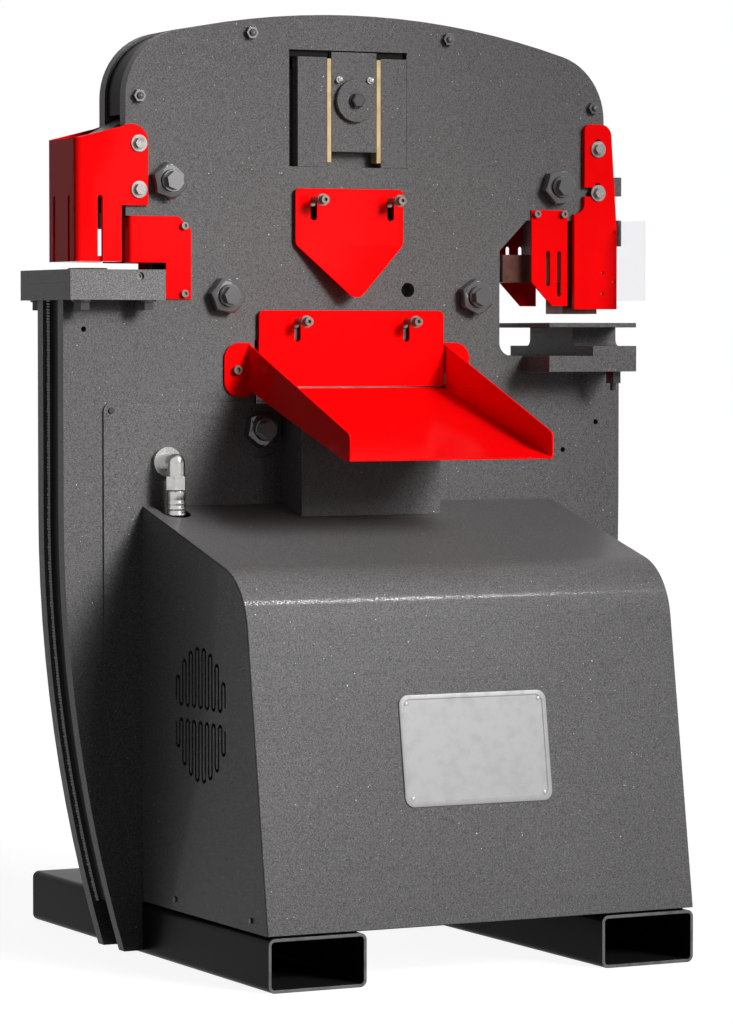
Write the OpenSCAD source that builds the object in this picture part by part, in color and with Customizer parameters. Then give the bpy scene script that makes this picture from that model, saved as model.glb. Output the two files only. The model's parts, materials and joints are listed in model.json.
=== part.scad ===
// Hydraulic ironworker: two frame plates stand on base tubes, and a ram plate slides between them.
// The ram works a punch at the left, an angle shear and a flat bar shear in the middle, and a notcher
// at the right. Each station has its guard, and the power unit stands under a sheet cover in front.
// X runs to the right, Y to the back and Z up; the floor is Z = 0, under the middle of the tubes.

/* [Base] */
// Length of each base tube
tube_l = 848; // [780:2:960]
// Width of each base tube
tube_w = 152; // [130:1:170]
// Height of each base tube
tube_h = 76; // [60:1:90]
// Wall of the base tubes
tube_wall = 4.8; // [3:0.1:8]
// Outer corner radius of the base tubes
tube_corner_r = 10; // [6:0.5:14]
// Distance between the tubes' centre lines
tube_track = 530; // [490:2:550]

/* [Frame plates] */
// Thickness of each frame plate
plate_t = 20; // [16:0.5:25]
// Gap between the frame plates
plate_gap = 56; // [50:1:64]
// Front face of the frame, behind the middle of the tubes
frame_y = 4; // [-10:1:20]
// Height of the crown above the floor
frame_h = 1383; // [1370:1:1400]
// Radius of the crown
crown_r = 1320; // [1250:10:1500]
// Reach of the upper jaw to the left
left_arm_w = 365; // [355:1:375]
// Reach of the upper jaw to the right
right_arm_w = 436; // [430:1:445]
// Radius of the two shoulders
shoulder_r = 100; // [80:1:110]
// Reach of the lower jaws to each side
jaw_half_w = 464; // [455:1:475]
// Radius of the curved flanks under the jaws
jaw_arc_r = 2250; // [2150:10:2500]
// Height at which the flanks start to curve
jaw_arc_z = 650; // [600:5:700]
// Gap under the feet of the plates
foot_gap = 6; // [2:0.5:10]
// Height of the opening between the base tubes
arch_z = 110; // [90:1:140]

/* [Throats] */
// Top of the left lower jaw
left_jaw_z = 958; // [950:1:964]
// Height of the left throat
left_throat_h = 123; // [118:1:128]
// Inner end of the left throat, from the middle
left_throat_x = 290; // [284:1:296]
// Top of the right lower jaw
right_jaw_z = 876; // [870:1:880]
// Height of the right throat
right_throat_h = 206; // [200:1:212]
// Inner end of the right throat, from the middle
right_throat_x = 254; // [246:1:260]
// Radius in the inner corners of the throats
throat_r = 20; // [10:1:24]
// Chamfer over the right throat
throat_chamfer = 47; // [30:1:50]

/* [Ties] */
// Diameter of the tie rods
tie_d = 32; // [26:0.5:36]
// Width across the flats of the tie nuts
tie_nut_af = 48; // [42:1:52]
// Thickness of the tie nuts
tie_nut_h = 19; // [14:1:24]
// Length of a tie rod past its nut
tie_end = 6; // [3:0.5:10]
// Diameter of the small bolts that hold the crown band
band_bolt_d = 10; // [8:0.5:12]
// Thickness of the crown band
band_t = 8; // [4:0.5:10]
// Depth of the crown band below the plate edges
band_recess = 4; // [2:0.5:8]

/* [Ram] */
// Stroke of the ram
stroke = 20; // [14:1:21]
// Thickness of the ram plate
ram_t = 50; // [46:1:52]
// Depth of the ram plate's top below the crown
ram_top_gap = 78; // [74:1:90]
// Bottom of the ram's arms over the upper jaws' lower edges
ram_arm_lift = 31; // [28:1:36]
// Half width of the ram's body
ram_half_w = 184; // [178:1:188]
// Half width of the ram's tongue
tongue_half_w = 118; // [100:1:124]
// Middle of the slide from the middle of the frame
slide_x = 6.5; // [0:0.5:12]
// Width of the slide blocks
slide_w = 75; // [60:1:80]
// Height of the slide blocks
slide_h = 148; // [140:1:150]
// Thickness of the brass gibs
gib_t = 7; // [5:0.5:8]
// Bottom of the slide windows
window_z = 1157; // [1155:1:1160]
// Height of the slide windows
window_h = 173; // [172:1:178]
// Left edge of the slide windows, from the middle
window_left = 101; // [98:1:106]
// Right edge of the slide windows, from the middle
window_right = 95; // [90:1:100]
// Diameter of the ram's cross pin
ram_pin_d = 50; // [40:1:54]
// Diameter of the caps on the cross pin
pin_cap_d = 64; // [58:1:68]

/* [Flat bar and angle shears] */
// Cutting edge of the lower flat bar blade
shear_z = 832; // [828:1:836]
// Half length of the flat bar blades
blade_half_l = 155; // [145:1:157]
// Lowest point of the lower angle blade's edges
angle_z = 1010; // [1006:1:1014]
// Half width of the angle opening
angle_half_w = 72; // [60:1:76]
// Upright thickness of the lower angle blade
angle_blade_h = 25; // [20:1:30]

/* [Punch station] */
// Distance of the punch from the middle
punch_x = 405; // [402:1:408]
// Diameter of the punch
punch_d = 26; // [16:0.5:30]
// Width of the punch table
table_w = 150; // [140:1:152]
// Depth of the punch table from front to back
table_d = 188; // [160:2:200]
// Thickness of the bolster under the punch table
bolster_h = 25; // [20:0.5:30]
// Thickness of the punch table
table_h = 19; // [16:0.5:24]
// Outer end of the punch table, from the middle
table_reach = 472; // [472:1:480]
// Diameter of the die
die_d = 58; // [50:1:64]
// Thickness of the punch guard
punch_guard_t = 6; // [4:0.5:7]

/* [Notcher] */
// Width of the notcher table
notch_table_w = 152; // [140:1:156]
// Depth of the notcher table and its base from front to back
notch_d = 260; // [230:2:280]
// Thickness of the notcher table
notch_table_t = 7; // [5:0.5:10]
// Width of the notcher die
notch_die_w = 76; // [74:1:82]
// Depth of the notcher die's neck from front to back
notch_neck_d = 134; // [120:1:150]
// Height of the notcher die's neck
notch_neck_h = 28; // [24:1:34]
// Thickness of the notcher die's flange
notch_flange_h = 15; // [12:0.5:18]
// Right end of the notcher, from the middle
notch_reach = 447; // [440:1:450]
// Thickness of the brackets under the notcher
bracket_h = 24; // [20:1:30]
// Thickness of the clear end shield
shield_t = 4; // [3:0.5:6]

/* [Guards and tray] */
// Sheet thickness of the throat guards
sheet_t = 3; // [2:0.5:3.5]
// Thickness of the hanging guards
guard_t = 4; // [3:0.5:5]
// Gap between the hanging guards and the frame
guard_gap = 4; // [3:0.5:6]
// Lift of the hanging guards
guard_lift = 24; // [10:1:26]
// Half width of the angle guard
angle_guard_half_w = 90; // [84:1:96]
// Half width of the flat bar guard
shear_guard_half_w = 154; // [145:0.5:155]
// Outward bend of the angle guard's tip in degrees
guard_bend = 17; // [10:1:30]
// Width of the tray
tray_w = 329; // [325:1:340]
// Length of the tray from front to back
tray_l = 331; // [280:1:350]
// Fall of the tray from back to front
tray_fall = 97; // [80:1:110]
// Height of the tray's walls at the back
tray_wall_back = 64; // [50:1:66]
// Height of the tray's walls at the front
tray_wall_front = 35; // [20:1:45]

/* [Cylinder] */
// Outer diameter of the cylinder
cyl_d = 190; // [170:1:194]
// Bore of the cylinder
cyl_bore = 150; // [130:1:156]
// Diameter of the piston rod
rod_d = 85; // [70:1:95]
// Top of the cylinder barrel
cyl_top = 640; // [620:1:644]
// Length of the cylinder barrel
cyl_l = 240; // [220:1:245]
// Diameter of the cylinder's pins
cyl_pin_d = 50; // [40:1:54]
// Half width of the cylinder boxes
box_half_w = 115; // [110:1:118]
// Depth of the cylinder boxes past the plates
box_d = 70; // [60:1:76]

/* [Cover] */
// Height of the cover where it meets the frame
cover_top = 658; // [650:1:664]
// Fall of the cover's top in degrees
cover_slope = 15; // [10:0.5:18]
// Lean of the cover's front in degrees
cover_lean = 8.8; // [5:0.1:12]
// Radius of the bend between top and front
cover_r = 100; // [70:1:120]
// Sheet thickness of the cover
cover_t = 3; // [2:0.5:4]
// Diameter of the vent in the cover's sides
vent_d = 196; // [180:1:204]
// Distance between the loops of the vent
vent_pitch = 22; // [20:0.5:24]
// Width of the vent's slit
vent_slit = 5; // [3:0.5:6]

/* [Hidden] */
$fn = 64;
fine_fn = 360;
overrun = 2;
// Running clearances, and the room round screws and pins
slide_clear = 0.3;
fit_clear = 0.05;
hole_clear = 0.2;
side_clear = 0.3;
tool_clear = 0.4;

// Planes of the frame from front to back
gap_y = frame_y + plate_t;
gap_back_y = gap_y + plate_gap;
back_y = gap_back_y + plate_t;
mid_y = gap_y + plate_gap / 2;
ram_y = mid_y - ram_t / 2;
frame_depth = 2 * plate_t + plate_gap;

// Heights that follow from the jaws
left_throat_top = left_jaw_z + left_throat_h;
right_throat_top = right_jaw_z + right_throat_h;
table_z = left_jaw_z + bolster_h;
table_top = table_z + table_h;
crown_c = [0, frame_h - crown_r];
tube_inner_x = (tube_track - tube_w) / 2;
tube_outer_x = (tube_track + tube_w) / 2;

// Tie rods as X and Z, and the turn of each nut
tie_arm_lift = 51;
tie_left_inset = 65;
tie_right_inset = 84;
tie_mid_x = 208;
tie_mid_rise = 133;
tie_low_x = 150;
tie_low_drop = 64;
tie_spots = [
  [-left_arm_w + tie_left_inset, left_throat_top + tie_arm_lift],
  [right_arm_w - tie_right_inset, right_throat_top + tie_arm_lift],
  [-tie_mid_x, shear_z + tie_mid_rise],
  [tie_mid_x, shear_z + tie_mid_rise],
  [-tie_low_x, shear_z - tie_low_drop],
  [tie_low_x, shear_z - tie_low_drop]
];
tie_turns = [20, -12, 8, 25, 40, 15];
tie_l = frame_depth + 2 * (tie_nut_h + tie_end);
tie_hex_af = 24;
tie_hex_h = 9;
nut_face_share = 0.95;
nut_chamfer_run = 1.73;

// Crown band and its bolts
band_drop = 155;
band_z = frame_h - band_drop;
band_bolt_x = 164;
band_bolt_drop = 31;
band_bolt_inset = 20;
band_bolt_low_drop = 128;
band_nut_af = 17;
band_nut_h = 8;
band_spots = [
  [-left_arm_w + band_bolt_inset, frame_h - band_bolt_low_drop],
  [-band_bolt_x, frame_h - band_bolt_drop],
  [band_bolt_x, frame_h - band_bolt_drop],
  [right_arm_w - band_bolt_inset, frame_h - band_bolt_low_drop]
];

// Webs that close the jaws' outer ends
web_recess = 10;
web_t = 10;

// Slide, gibs and cross pin
slide_top_gap = 2;
slide_z = window_z + window_h - slide_top_gap - slide_h;
slide_left = slide_x - slide_w / 2;
slide_right = slide_x + slide_w / 2;
gib_rise = 7;
gib_h = 154;
gib_block_gap = 14;
gib_block_h = 163;
ram_pin_rise = 76;
pin_z = slide_z + ram_pin_rise;
pin_cap_t = 8;

// Flat bar blades
blade_h = 26;
blade_t = 24;
shear_window_gap = 3;
shear_window_h = 68;
upper_blade_gap = 10;
upper_blade_rake = 8;
upper_blade_top = shear_z + shear_window_h;
ram_window_drop = 6;
ram_window_top = upper_blade_top - blade_t;

// Angle blades
angle_tip_z = angle_z - angle_blade_h;
angle_window_room = 31;
angle_window_top = angle_z + angle_half_w + angle_window_room;
angle_gap = 16;
upper_angle_half_w = 40;
upper_angle_h = 54;
upper_angle_z = angle_z + angle_gap;
upper_angle_top = upper_angle_z + upper_angle_half_w + upper_angle_h;

// Ram plate
ram_left_inset = 40;
ram_right_inset = 31;
ram_left_x = left_arm_w - ram_left_inset;
ram_right_x = right_arm_w - ram_right_inset;
ram_arm_z = left_throat_top + ram_arm_lift;
arm_end_reach = 29;
arm_end_h = 68;
arm_root_h = 124;
arm_end_x = punch_x + arm_end_reach;
arm_end_z = ram_arm_z + arm_end_h;
arm_root_z = ram_arm_z + arm_root_h;
tie_room = 4;
tongue_z = 700;
tongue_top = 806;
rod_pin_z = 735;

// Punch tooling, and the table's inner end, which always leaves a rim round the die
table_rim = 10;
table_inner_x = min(table_reach - table_w, punch_x - die_d / 2 - table_rim);
die_rise = 3;
die_bore_clear = 0.4;
slug_d = 36;
punch_gap = 15;
punch_tip_z = table_top + die_rise + punch_gap;
holder_d = 60;
holder_neck_d = 44;
holder_nut_h = 24;
punch_free_l = 42;
holder_z = punch_tip_z + punch_free_l;
punch_head_d = 34;

// Punch guard
guard_web_reach = 41;
guard_reach = punch_x + guard_web_reach;
guard_rise = 12;
guard_bottom = table_top + guard_rise;
guard_web_h = 178;
guard_ear_rise = 15;
guard_top_rise = 133;
guard_ear_z = left_throat_top + guard_ear_rise;
guard_top = left_throat_top + guard_top_rise;
guard_step_inset = 31;
guard_step_x = punch_x - guard_step_inset;
guard_ear_inset = 33;
guard_ear_x = left_arm_w - guard_ear_inset;
guard_ear_r = 26;
guard_slot_w = 8;
guard_slot_h = 96;
guard_slot_shift = 3;
guard_slot_x = punch_x + guard_slot_shift;
guard_side_slot = 27;
guard_drop = 8;
guard_bolt_inset = 18;
guard_bolt_x = left_arm_w - guard_bolt_inset;
guard_bend_r = 10;
guard_bolt_rises = [38, 105];
stripper_t = 8;
stripper_d = 40;

// Hex bolts and socket screws
bolt_d = 9.5;
bolt_af = 14.3;
bolt_head_h = 6.5;
washer_d = 25;
washer_t = 2.2;
screw_d = 6;
screw_head_d = 11;
screw_head_h = 6;
screw_depth = 14;
bolt_depth = 16;
foot_bolt_af = 22;
foot_bolt_h = 12;
foot_washer_d = 30;
foot_washer_t = 2.5;
foot_nut_h = 18;
foot_tail = 11;
stud_d = 9.5;
stud_head_d = 13;
stud_head_h = 9.5;
stud_washer_d = 18;
stud_l = 30;
pan_screw_d = 5;
pan_screw_head_d = 9;
pan_screw_head_h = 2.6;

// Throat guards of the punch
throat_guard_left = 361;
throat_guard_step = 302;
throat_guard_right = 262;
throat_guard_drop = 68;
throat_guard_foot = 2;
throat_guard_chamfer = 20;
throat_guard_lip = 16;
throat_guard_r = 6;
throat_screw_x = 274;
throat_screw_drop = 14;
throat_screw_rise = 10;

// Hanging guards
guard_slot = 10.5;
guard_slot_play = 0.5;
angle_guard_top = 1125;
angle_guard_fold_z = 1042;
angle_guard_x = -4.5;
angle_guard_tip = 85;
angle_guard_tip_r = 17;
angle_guard_side_r = 14;
hang_corner_r = 8;
angle_slot_x = 64;
angle_slot_drop = 12;
shear_guard_h = 113;
shear_guard_drop = 1;
shear_guard_z = shear_z - shear_guard_drop;
shear_slot_x = 91;
shear_slot_drop = 11;
hang_slot_h = guard_slot + guard_lift + 2 * guard_slot_play;
hang_back = frame_y - guard_gap;

// Tray
tray_x = -4.5;
tray_back_y = hang_back;
tray_drop = 3;
tray_z = shear_z - tray_drop;
tray_tab_w = 40;
tray_tab_h = 80;
tray_tab_r = 24;
tray_tab_rise = 27;
tray_wall_drop = 5;
tray_wall_r = 11;
tray_screw_inset = 21;
tray_screw_d = 8;

// Cylinder
cyl_base_h = 30;
gland_h = 20;
gland_spigot_h = 24;
clevis_d = 120;
clevis_base = 16;
clevis_gap = 6;
clevis_clear = 0.4;
piston_h = 50;
piston_drop = 70;
lug_w = 80;
lug_h = 76;
cyl_pin_drop = 34;
cyl_room = 2;
cyl_hole_top = 780;
box_top = 800;
box_back_bottom = 328;

// Access panel on the frame's front
panel_t = 3;
panel_left = 402;
panel_right = 126;
panel_top = 810;
panel_bottom = 130;
panel_inset = 48;
panel_r = 14;
panel_screw_inset = 12;
panel_screw_x = 60;

// Elbow and hose
hose_x = 303;
elbow_z = 722;
elbow_d = 26;
elbow_flange_d = 44;
elbow_flange_t = 8;
elbow_reach = 28;
hose_d = 20;
ferrule_d = 26;
ferrule_l = 38;
hose_nut_af = 27;
hose_nut_h = 20;
elbow_drop = 20;
hose_room = 8;
hose_y = frame_y - panel_t - elbow_flange_t - elbow_reach;

// Cover
cover_back = frame_y - panel_t - side_clear;
cover_inset = 0.5;
cover_gap = 3;
cover_front = cover_inset - tube_l / 2;
cover_bottom = tube_h + cover_gap;
vent_y = -201;
vent_z = 368;
vent_gap = 8;
vent_loops = 8;
cover_screw_ys = [-114, -368];
cover_screw_rise = 16;

// Power unit
pan_t = 4;
pan_inset = 8;
tank_half_w = 318;
tank_front = -330;
tank_back = -12;
tank_h = 246;
tank_r = 14;
tank_wall = 4;
tank_lid_t = 6;
motor_d = 178;
motor_l = 250;
motor_x = -230;
motor_y = -196;
motor_foot_h = 12;
motor_z = tube_h + pan_t + tank_h + motor_foot_h + motor_d / 2;
motor_shaft_d = 28;
motor_rib_share = 0.25;
bell_d = 150;
bell_l = 70;
bell_wall = 10;
coupling_d = 70;
coupling_l = 50;
coupling_jaw_l = 16;
coupling_jaw_d = 18;
pump_d = 96;
pump_l = 120;
valve_w = 60;
valve_d = 44;
valve_h = 84;
cap_d = 60;
cap_h = 34;

// Notcher
notch_base_z = right_jaw_z;
notch_neck_z = notch_base_z + notch_flange_h;
notch_table_z = notch_neck_z + notch_neck_h;
notch_top = notch_table_z + notch_table_t;
notch_die_x = notch_reach - notch_die_w;
notch_hole_wall = 10;
notch_hole_d = 54;
notch_gap = 14;
notch_punch_z = notch_top + notch_gap;
notch_head_h = 48;
notch_holder_h = 42;
notch_holder_x = 272;
notch_stem_x = 332;
notch_stem_right = 412;
notch_fillet_r = 10;
notch_y = mid_y - notch_d / 2;

// Guards of the notcher
notch_guard_t = 8;
notch_guard_left_inset = 56;
notch_guard_past = 19;
notch_guard_left = right_arm_w - notch_guard_left_inset;
notch_guard_right = right_arm_w + notch_guard_past;
notch_guard_gap = 21;
notch_guard_rise = 148;
notch_guard_z = notch_top + notch_guard_gap;
notch_guard_top = right_throat_top + notch_guard_rise;
notch_guard_turn = 18;
notch_guard_neck = notch_guard_left + notch_guard_turn;
notch_guard_shoulder_inset = 11;
notch_guard_shoulder = notch_guard_right - notch_guard_shoulder_inset;
notch_guard_slant_drop = 16;
notch_guard_r = 18;
notch_guard_hole_d = 5;
// Small holes of the notcher guard, from its right edge and its foot
notch_guard_holes = [[4.5, 119], [24.4, 56], [4.5, 42], [25, 24]];
notch_guard_drop = 10;
notch_bolt_inset = 15;
notch_bolt_x = right_arm_w - notch_bolt_inset;
notch_bolt_rises = [43, 110];
notch_slot = 11;
notch_hook_w = 14;
pent_left_inset = 128;
pent_right_inset = 65;
pent_left = right_arm_w - pent_left_inset;
pent_right = right_arm_w - pent_right_inset;
pent_gap = 26;
pent_z = notch_top + pent_gap;
pent_rise = 16;
pent_chamfer = 36;
pent_slot_w = 7;
// Slots of the front and the rear sheet, each as its distance from the sheet's left edge, foot and top
pent_slots = [[[29, 30, 84], [48, 14, 84]], [[13, 40, 92], [35, 40, 92]]];
pent_screw_inset = 8;
pent_screw_drop = 6;

// Clear shield at the notcher's end
shield_past = 36;
shield_x = right_arm_w + shield_past;
shield_d = 228;
shield_gap = 34;
shield_z = notch_top + shield_gap;
shield_h = 122;
shield_bracket_t = 6;
shield_bracket_low = 84;
shield_bracket_rise = 68;
shield_lug_rise = 39;
shield_notch_rise = 2;
shield_bracket_z = shield_z + shield_bracket_low;
shield_bracket_top = right_throat_top + shield_bracket_rise;
shield_lug_z = right_throat_top + shield_lug_rise;
shield_notch_z = right_throat_top + shield_notch_rise;

// Empty holes in the front plate: the one beside the angle shear, and small tapped ones
gauge_hole_d = 22;
gauge_hole = [97, 975];
tapped_holes = [[365, 732], [423, 774], [-432, 916]];
tapped_d = 8;

// Screw places as X and Z on the frame's faces
punch_bolt_spots = [for (r = guard_bolt_rises) [-guard_bolt_x, left_throat_top + r]];
notch_bolt_spots = [for (r = notch_bolt_rises) [notch_bolt_x, right_throat_top + r]];
throat_screw_spots = [
  [-throat_screw_x, left_throat_top - throat_screw_drop],
  [-throat_screw_x, left_jaw_z + throat_screw_rise]
];
pent_screw_spots = [
  [pent_left + pent_screw_inset, right_throat_top + pent_rise - pent_screw_drop],
  [pent_right - pent_screw_inset, right_throat_top + pent_rise - pent_screw_drop]
];
hang_spots = [
  for (s = [-1, 1]) [s * angle_slot_x, angle_guard_top - angle_slot_drop
    - guard_slot / 2 - guard_slot_play],
  for (s = [-1, 1]) [s * shear_slot_x, shear_guard_z + shear_guard_h - shear_slot_drop
    - guard_slot / 2 - guard_slot_play]
];
tray_screw_spots = [for (s = [-1, 1])
  [tray_x + s * (tray_w / 2 + tray_screw_inset), tray_z + tray_tab_rise]];
panel_screw_spots = [
  [-panel_left + panel_screw_inset, panel_top - panel_screw_inset],
  [-panel_right - panel_screw_x, panel_top - panel_screw_inset]
];

// Places of the bolts that hold the punch table from below, in front of and behind the frame
table_bolt_inset = 25;
table_bolt_y = 16;
table_bolt_depth = 15;
table_screw_inset = 110;
table_screw_x = table_reach - table_screw_inset;
table_screw_l = 20;
table_bolt_spots = [for (x = [table_bolt_inset, table_w - table_bolt_inset], s = [-1, 1])
  [x - table_reach, mid_y + s * (table_d / 2 - table_bolt_y)]];

// Places of the bolts that hold the notcher's base from below
notch_foot_inset = 23;
notch_foot_y = 30;
notch_foot_spots = [for (s = [-1, 1])
  [notch_reach - notch_foot_inset, mid_y + s * (notch_d / 2 - notch_foot_y)]];

// Outward directions of the cover's top and front
cover_up = [-sin(cover_slope), cos(cover_slope)];
cover_out = [-cos(cover_lean), sin(cover_lean)];
// Lines of the cover's top and front, drawn in by an inset, and where they cross
function top_z(y, inset) = cover_top - (cover_back - y) * tan(cover_slope) - inset / cos(cover_slope);
function front_y(z, inset) = cover_front + (z - cover_bottom) * tan(cover_lean) + inset / cos(cover_lean);
function cross_y(inset) = (front_y(0, inset) + top_z(0, inset) * tan(cover_lean))
  / (1 - tan(cover_slope) * tan(cover_lean));
cover_bend = [cross_y(cover_r), top_z(cross_y(cover_r), cover_r)];

// Helpers

// Extrudes an outline in X and Z along Y, from y for a depth of t
module along_y(y, t) {
  translate([0, y + t, 0]) rotate([90, 0, 0]) linear_extrude(t) children();
}

// Extrudes an outline in Y and Z along X, from x for a width of w
module along_x(x, w) {
  translate([x, 0, 0]) rotate([90, 0, 90]) linear_extrude(w) children();
}

// Round bar along Y
module bar_y(x, z, y, l, d) {
  translate([x, y, z]) rotate([-90, 0, 0]) cylinder(h = l, d = d);
}

// Hexagonal bar along Y, given its width across the flats
module hex_y(x, z, y, l, af, turn) {
  translate([x, y, z]) rotate([-90, 0, 0]) rotate([0, 0, turn])
    cylinder(h = l, d = af / cos(30), $fn = 6);
}

// Nut seated on a face at y, its outer end chamfered; dir is the way into the face along Y
module nut_y(p, y, dir, h, af, turn) {
  face = af * nut_face_share;
  translate([p[0], y, p[1]]) rotate([-90 * dir, 0, 0]) translate([0, 0, -h]) intersection() {
    rotate([0, 0, turn]) cylinder(h = h, d = af / cos(30), $fn = 6);
    cylinder(h = h, d1 = face, d2 = face + 2 * h * nut_chamfer_run);
  }
}

// Block between two corners
module block(a, b) {
  translate(a) cube(b - a);
}

// Rectangle with round corners, centred
module rounded_rect(w, h, r) {
  square([w - 2 * r, h], center = true);
  square([w, h - 2 * r], center = true);
  for (x = [-1, 1], z = [-1, 1]) translate([x * (w / 2 - r), z * (h / 2 - r)]) circle(r = r);
}

// Upright slot with round ends, standing on its lower end
module slot(w, h) {
  translate([-w / 2, w / 2]) square([w, h - w]);
  translate([0, w / 2]) circle(d = w);
  translate([0, h - w / 2]) circle(d = w);
}

// What a round corner takes off: c is the round's middle, a and b its ends, k the sharp corner's outside
module corner_cut(c, r, a, k, b) {
  difference() {
    polygon([c, a, k, b]);
    translate(c) circle(r = r);
  }
}

function unit(v) = v / norm(v);

// What a round of radius r takes off the corner at p, between the edges that run to a and to b
module round_off(a, p, b, r) {
  u = unit(a - p);
  v = unit(b - p);
  half = acos(u * v) / 2;
  out = unit(u + v);
  corner_cut(p + out * r / sin(half), r, p + u * r / tan(half), p - out * overrun, p + v * r / tan(half));
}

// Outline with each of its corners rounded by the radius in a list, 0 for a sharp one
module rounded_polygon(points, radii) {
  n = len(points);
  difference() {
    polygon(points);
    for (i = [0 : n - 1]) if (radii[i] > 0)
      round_off(points[(i + n - 1) % n], points[i], points[(i + 1) % n], radii[i]);
  }
}

// Holes through an outline at a list of places
module holes(spots, d) {
  for (p = spots) translate(p) circle(d = d);
}

// Frame

function shoulder_c(x) = [x, crown_c[1] + sqrt(pow(crown_r - shoulder_r, 2) - pow(x, 2))];
function on_crown(c, inset) = crown_c + (c - crown_c) / norm(c - crown_c) * (crown_r - inset);

module shoulder_cut(side, arm_w, inset) {
  c = shoulder_c(side * (arm_w - shoulder_r));
  b = on_crown(c, inset);
  corner_cut(c, shoulder_r - inset, [side * (arm_w - inset), c[1]],
    [side * (arm_w + overrun), b[1] + overrun], b);
}

// Upper part of the frame above a height, drawn in from its edge by an inset
module crown_region(inset, z) {
  difference() {
    intersection() {
      translate(crown_c) circle(r = crown_r - inset, $fn = fine_fn);
      translate([inset - left_arm_w, z]) square([left_arm_w + right_arm_w - 2 * inset, frame_h - z]);
    }
    shoulder_cut(1, right_arm_w, inset);
    shoulder_cut(-1, left_arm_w, inset);
  }
}

// Lower part of the frame with its curved flanks, drawn in from them by an inset
module jaw_region(inset) {
  flank_x = jaw_arc_r - jaw_half_w;
  translate([inset - jaw_half_w, jaw_arc_z]) square([2 * (jaw_half_w - inset), left_jaw_z - jaw_arc_z]);
  intersection() {
    translate([-jaw_half_w, foot_gap]) square([2 * jaw_half_w, jaw_arc_z - foot_gap]);
    translate([-flank_x, jaw_arc_z]) circle(r = jaw_arc_r - inset, $fn = fine_fn);
    translate([flank_x, jaw_arc_z]) circle(r = jaw_arc_r - inset, $fn = fine_fn);
  }
}

// Left throat, open to the left
module left_throat() {
  outer_x = max(jaw_half_w, left_arm_w) + overrun;
  difference() {
    translate([-outer_x, left_jaw_z]) square([outer_x - left_throat_x, left_throat_h]);
    for (z = [0, 1]) translate([-left_throat_x, left_jaw_z + z * left_throat_h])
      mirror([1, 0]) mirror([0, z]) inner_corner(throat_r);
  }
}

// Right throat, open to the right, with its chamfer at the top
module right_throat() {
  outer_x = max(jaw_half_w, right_arm_w) + overrun;
  difference() {
    translate([right_throat_x, right_jaw_z]) square([outer_x - right_throat_x, right_throat_h]);
    translate([right_throat_x, right_jaw_z]) inner_corner(throat_r);
    translate([right_throat_x, right_throat_top])
      polygon([[0, 0], [throat_chamfer, 0], [0, -throat_chamfer]]);
  }
}

// Fillet that fills the corner at the origin
module inner_corner(r) {
  difference() {
    square(r);
    translate([r, r]) circle(r = r);
  }
}

// Room for the base tubes and the open space between them
module base_cut() {
  for (s = [-1, 1]) translate([s * tube_track / 2 - tube_w / 2, 0]) square([tube_w, tube_h]);
  translate([-tube_inner_x, 0]) square([2 * tube_inner_x, arch_z]);
}

module slide_window() {
  translate([-window_left, window_z]) square([window_left + window_right, window_h]);
}

// Pointed opening of the angle shear
module angle_window(tip, half_w, top) {
  polygon([[0, tip], [half_w, tip + half_w], [half_w, top], [-half_w, top], [-half_w, tip + half_w]]);
}

module shear_window(z) {
  half_w = blade_half_l + shear_window_gap;
  translate([-half_w, z]) square([2 * half_w, upper_blade_top - z]);
}

module cylinder_window() {
  half_w = cyl_d / 2 + cyl_room;
  bottom = cyl_top - cyl_l - cyl_room;
  translate([-half_w, bottom]) square([2 * half_w, cyl_hole_top - bottom]);
}

// One frame plate, with the flat bar window's lower edge at shear_bottom
module plate_outline(shear_bottom) {
  difference() {
    union() {
      jaw_region(0);
      crown_region(0, right_jaw_z);
    }
    base_cut();
    left_throat();
    right_throat();
    slide_window();
    angle_window(angle_tip_z, angle_half_w, angle_window_top);
    shear_window(shear_bottom);
    cylinder_window();
    holes(tie_spots, tie_d + 2 * hole_clear);
    holes(band_spots, band_bolt_d + 2 * hole_clear);
    translate([0, cyl_top - cyl_l - cyl_pin_drop]) circle(d = cyl_pin_d + 2 * hole_clear);
    holes(punch_bolt_spots, bolt_d + 2 * hole_clear);
    holes(throat_screw_spots, screw_d + 2 * hole_clear);
    holes(pent_screw_spots, screw_d + 2 * hole_clear);
  }
}

module front_plate() {
  color("dimgray") along_y(frame_y, plate_t) difference() {
    plate_outline(shear_z - blade_h);
    holes(notch_bolt_spots, bolt_d + 2 * hole_clear);
    holes(hang_spots, stud_d + 2 * hole_clear);
    holes(tray_screw_spots, tray_screw_d + 2 * hole_clear);
    holes(panel_screw_spots, pan_screw_d + 2 * hole_clear);
    holes([[-hose_x, elbow_z]], elbow_d + 2 * hole_clear);
    holes([gauge_hole], gauge_hole_d);
    holes(tapped_holes, tapped_d);
  }
}

module rear_plate() {
  color("dimgray") along_y(gap_back_y, plate_t) plate_outline(shear_z - ram_window_drop);
}

module base_tube(side) {
  translate([side * tube_track / 2, 0, tube_h / 2]) along_y(-tube_l / 2, tube_l) difference() {
    rounded_rect(tube_w, tube_h, tube_corner_r);
    rounded_rect(tube_w - 2 * tube_wall, tube_h - 2 * tube_wall, tube_corner_r - tube_wall);
  }
}

module left_tube() {
  color("black") base_tube(-1);
}

module right_tube() {
  color("black") base_tube(1);
}

// Webs between the plates, set back from their outer edges
module jaw_webs() {
  color("black") along_y(gap_y, plate_gap) difference() {
    jaw_region(web_recess);
    jaw_region(web_recess + web_t);
    translate([-jaw_half_w, 0]) square([2 * jaw_half_w, tube_h]);
    translate([0, right_jaw_z]) square([jaw_half_w, left_jaw_z]);
  }
}

module top_band() {
  color("black") along_y(gap_y, plate_gap) difference() {
    crown_region(band_recess, band_z);
    crown_region(band_recess + band_t, band_z - overrun);
  }
}

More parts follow.
